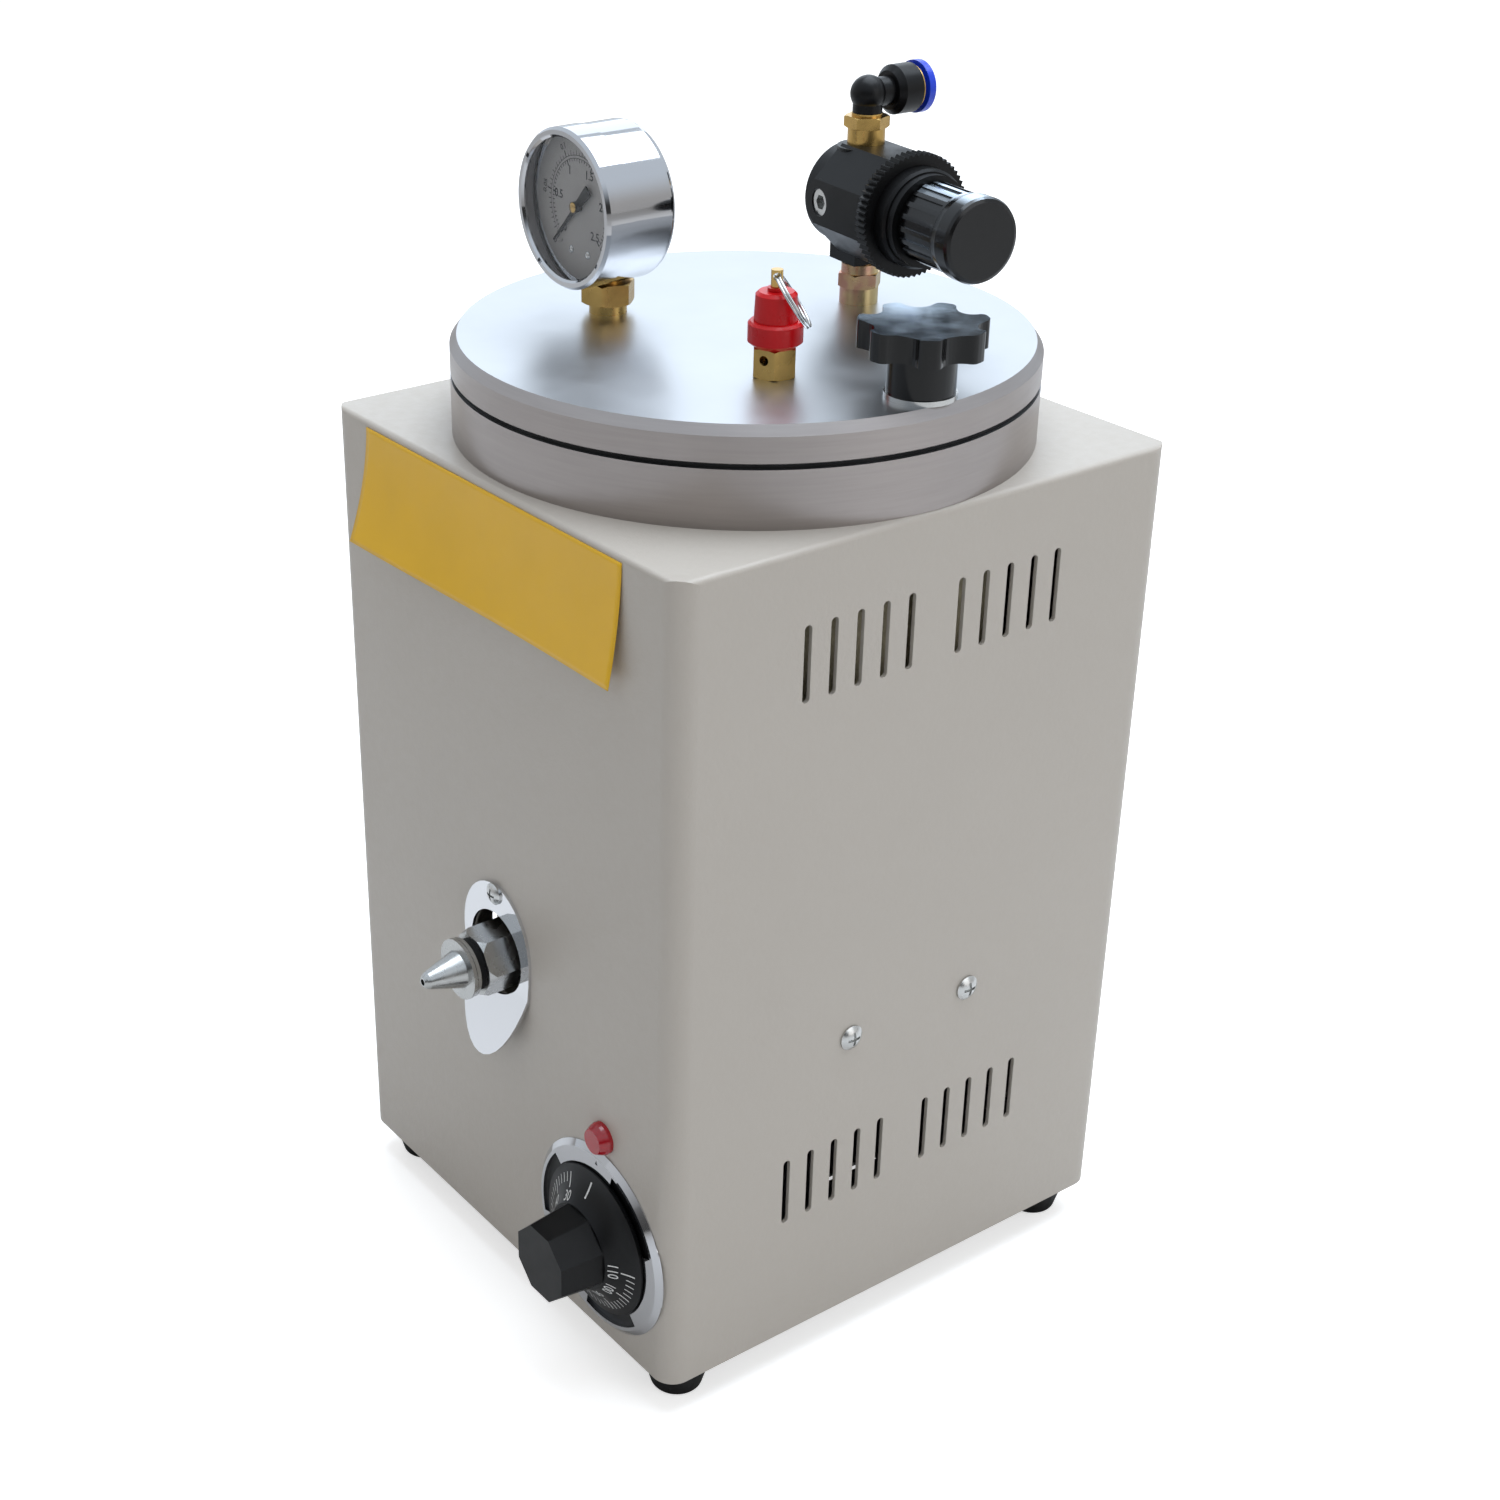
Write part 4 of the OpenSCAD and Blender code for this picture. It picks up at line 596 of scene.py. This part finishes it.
def gauge_scale():
    inner_ring, outer_ring = GAUGE_SCALE_R - GAUGE_RING_GAP, GAUGE_SCALE_R + GAUGE_RING_GAP
    shapes = []
    for i in range(GAUGE_STEPS + 1):
        length = 1.9 if i % GAUGE_NUMBERED == 0 else 1.45 if i % (GAUGE_NUMBERED // 2) == 0 else 1.0
        shapes.append(gauge_tick(i, inner_ring, -length * MM, GAUGE_INNER_WIDTHS))
    for i in range(GAUGE_STEPS + 1):
        length = 2.3 if i % GAUGE_NUMBERED == 0 else 1.6 if i % 2 == 0 else 1.0
        shapes.append(gauge_tick(i, outer_ring, length * MM, GAUGE_OUTER_WIDTHS))
    shapes += [gauge_ring(inner_ring), gauge_ring(outer_ring)]
    for i in range(GAUGE_STEPS // GAUGE_NUMBERED + 1):
        value = i * GAUGE_NUMBERED * GAUGE_FULL / GAUGE_STEPS
        angle = gauge_angle(value)
        shapes.append(moved(number_mesh("%g" % value, *GAUGE_NUMBERS),
                            on_dial(angle, GAUGE_NUMBERS_R, upright=True)))
        shapes.append(moved(number_mesh("%g" % (value / 10), *GAUGE_SMALL_NUMBERS),
                            on_dial(angle, GAUGE_SMALL_NUMBERS_R)))
    printed("gauge_scale", joined(shapes), GAUGE_PLACE, "gauge_dial", MARK_BLACK, "lid_set", GAUGE_LIFT)


def on_gauge(name, profile, seat, steps, material, body, angle=0.0, r=0.0):
    """A small turned piece that stands on the dial or the hand, with its foot at the height seat."""
    turned = lathe([(pr * MM, pz * MM + seat) for pr, pz in profile], steps)
    at = Matrix.Rotation(angle, 4, "Z") @ Matrix.Translation((r, 0, 0))
    verts, faces = moved(turned, GAUGE_PLACE @ at)
    piece(name, verts, faces, material, body, True)


def gauge_rivets_and_stop():
    dial = GAUGE_FRONT - front_of("gauge_dial")
    for number, angle in enumerate(RIVET_ANGLES):
        on_gauge(f"gauge_rivet_{number}", RIVET_HEAD, dial, 24, "screw_steel", "lid_set",
                 math.radians(angle), RIVET_R)
    on_gauge("gauge_stop", STOP_PIN, dial, 16, "dial_white", "lid_set",
             gauge_angle(0) + STOP_PIN_PAST, STOP_PIN_R)


def pointer_cap():
    on_gauge("pointer_cap", HAND_CAP, GAUGE_FRONT - front_of("gauge_pointer"), 32, "brass",
             "pressure_hand")


# ------------------------------------------------------------------ bare plate on the front

LABEL_W = 149.2 * MM
LABEL_H = 41 * MM
LABEL_TOP = 314.3 * MM
LABEL_MID_X = -2.1 * MM
LABEL_LIFT = (8.6 * MM, 4.7 * MM)  # how far the lower corners curl off the cabinet, left and right
LABEL_T = 0.25 * MM
LABEL_GAP = 0.12 * MM
LABEL_WAVE = 0.4 * MM  # how much its lower edge wanders
LABEL_FADE = 1.3  # how fast the left corner's curl fades out along the plate
LABEL_BEND = 1.7  # how late the curl sets in on the way down
LABEL_PULL = 1.2  # how much the curl lifts the lower edge


def label_point(u, v):
    """A point of the plate's back, from its left to its right edge (u) and from top to bottom (v)."""
    lift = LABEL_LIFT[0] * (1 - u) ** LABEL_FADE + LABEL_LIFT[1] * u
    off = lift * v ** LABEL_BEND + LABEL_WAVE * v * math.sin(7 * u + 0.6)
    drop = LABEL_H * v - off * off / (2 * LABEL_H) * LABEL_PULL
    return CASE.x + LABEL_MID_X + (u - 0.5) * LABEL_W, FRONT_Y - LABEL_GAP - off, LABEL_TOP - drop


def label_plate():
    across, down = 60, 24
    back = [label_point(i / across, j / down) for j in range(down + 1) for i in range(across + 1)]
    front = [(x, y - LABEL_T, z) for x, y, z in back]
    n = across + 1
    faces = []
    for j in range(down):
        for i in range(across):
            a = j * n + i
            faces.append([a, a + 1, a + n + 1, a + n])
            b = a + len(front)
            faces.append([b, b + n, b + n + 1, b + 1])
    rim = (list(range(n)) + [j * n + across for j in range(1, down + 1)]
           + [down * n + i for i in range(across - 1, -1, -1)] + [j * n for j in range(down - 1, 0, -1)])
    for k, a in enumerate(rim):
        b = rim[(k + 1) % len(rim)]
        faces.append([a, a + len(front), b + len(front), b])
    piece("label_plate", front + back, faces, LABEL_YELLOW, "base", smooth=True)


# ------------------------------------------------------------------ floor and light

DARK_SIDE = (0.77, -0.62, -0.1)  # towards the dark part of the room
COOL_WHITE = (0.81, 0.9, 1.0)
FLOOR_HALF = 14
FLOOR_GLOW = 0.6  # seen by the camera only, it takes the floor up to white
AIM = (0, 0, 0.2)
SOFTBOXES = {  # place, width, height, watts and colour
    "top_light": ((-0.1, 0.4, 1.9), 1.6, 1.6, 36, COOL_WHITE),
    "back_light": ((-1.7, 1.2, 1.35), 1.5, 1.2, 6, COOL_WHITE),
    "right_light": ((1.9, 0.5, 0.9), 1.2, 1.6, 7, (1, 1, 1)),
    "front_light": ((-0.5, -2.2, 0.9), 1.4, 1.4, 0.6, (1, 1, 1)),
}


def floor():
    mesh = bpy.data.meshes.new("floor")
    corners = [(x * FLOOR_HALF, y * FLOOR_HALF, 0) for x, y in ((-1, -1), (1, -1), (1, 1), (-1, 1))]
    mesh.from_pydata(corners, [], [(0, 1, 2, 3)])
    made = bpy.data.objects.new("floor", mesh)
    bpy.context.scene.collection.objects.link(made)
    f = Finish("floor_white", (0.82, 0.82, 0.82), 0.9, Specular_IOR_Level=0.0)
    f.vary_colour(f.noise(3), 0.99)
    lit = f.node("ShaderNodeEmission")
    lit.inputs["Strength"].default_value = FLOOR_GLOW
    seen = f.node("ShaderNodeLightPath")
    some = f.node("ShaderNodeMath", operation="MAXIMUM")
    f.link(seen.outputs["Is Camera Ray"], some.inputs[0])
    f.link(seen.outputs["Is Transmission Ray"], some.inputs[1])
    added = f.node("ShaderNodeAddShader")
    f.link(f.shader.outputs[0], added.inputs[0])
    f.link(lit.outputs[0], added.inputs[1])
    mix = f.node("ShaderNodeMixShader")
    f.link(some.outputs[0], mix.inputs[0])
    f.link(f.shader.outputs[0], mix.inputs[1])
    f.link(added.outputs[0], mix.inputs[2])
    f.link(mix.outputs[0], f.tree.nodes["Material Output"].inputs["Surface"])
    made.data.materials.append(f.material)


def world():
    made = bpy.data.worlds.new("studio")
    bpy.context.scene.world = made
    made.use_nodes = True
    tree = made.node_tree
    tree.nodes.clear()
    place = tree.nodes.new("ShaderNodeTexCoord").outputs["Generated"]

    def along(direction):
        dot = tree.nodes.new("ShaderNodeVectorMath")
        dot.operation = "DOT_PRODUCT"
        dot.inputs[1].default_value = direction
        tree.links.new(place, dot.inputs[0])
        return dot.outputs["Value"]

    def fade(value, low_at, high_at, low, high):
        ramp = tree.nodes.new("ShaderNodeMapRange")
        ramp.interpolation_type = "SMOOTHSTEP"
        set_range(ramp, low_at, high_at, low, high)
        tree.links.new(value, ramp.inputs["Value"])
        return ramp.outputs["Result"]

    def glow(strength=None, colour=(1, 1, 1)):
        back = tree.nodes.new("ShaderNodeBackground")
        back.inputs["Color"].default_value = (*colour, 1)
        if strength:
            tree.links.new(strength, back.inputs["Strength"])
        return back.outputs[0]

    def chosen(by, first, second):
        mix = tree.nodes.new("ShaderNodeMixShader")
        tree.links.new(by, mix.inputs[0])
        tree.links.new(first, mix.inputs[1])
        tree.links.new(second, mix.inputs[2])
        return mix.outputs[0]

    ray = tree.nodes.new("ShaderNodeLightPath").outputs
    # The room is dark on the photographer's side and white behind and above the object
    dark_side = glow(fade(along(DARK_SIDE), 0.05, 0.9, 0.62, 0.05))
    shine = chosen(fade(along((0, 0, 1)), 0.12, 0.6, 0, 1), dark_side, glow(colour=COOL_WHITE))
    shine = chosen(fade(along(DARK_SIDE), -0.75, 0.1, 1, 0), shine, glow(colour=COOL_WHITE))
    light = glow(fade(along((0, 0, 1)), -0.1, 0.9, 0.23, 0.56))
    straight = tree.nodes.new("ShaderNodeMath")
    straight.operation = "MAXIMUM"
    tree.links.new(ray["Is Camera Ray"], straight.inputs[0])
    tree.links.new(ray["Is Transmission Ray"], straight.inputs[1])
    seen = chosen(straight.outputs[0], chosen(ray["Is Glossy Ray"], light, shine), glow())
    out = tree.nodes.new("ShaderNodeOutputWorld")
    tree.links.new(seen, out.inputs["Surface"])


def softbox(name, place, width, height, watts, colour):
    data = bpy.data.lights.new(name, "AREA")
    data.shape = "RECTANGLE"
    data.size, data.size_y = width, height
    data.energy = watts
    data.color = colour
    made = bpy.data.objects.new(name, data)
    bpy.context.scene.collection.objects.link(made)
    away = Vector(place) - Vector(AIM)
    made.matrix_world = Matrix.Translation(place) @ away.to_track_quat("Z", "Y").to_matrix().to_4x4()
    made.visible_camera = False


def studio():
    for name, settings in SOFTBOXES.items():
        softbox(name, *settings)
    bpy.context.scene.view_settings.view_transform = "Standard"


make_camera()
dress_frame()
knob_scale()
bezel_mark()
gauge_scale()
gauge_rivets_and_stop()
pointer_cap()
label_plate()
floor()
world()
studio()
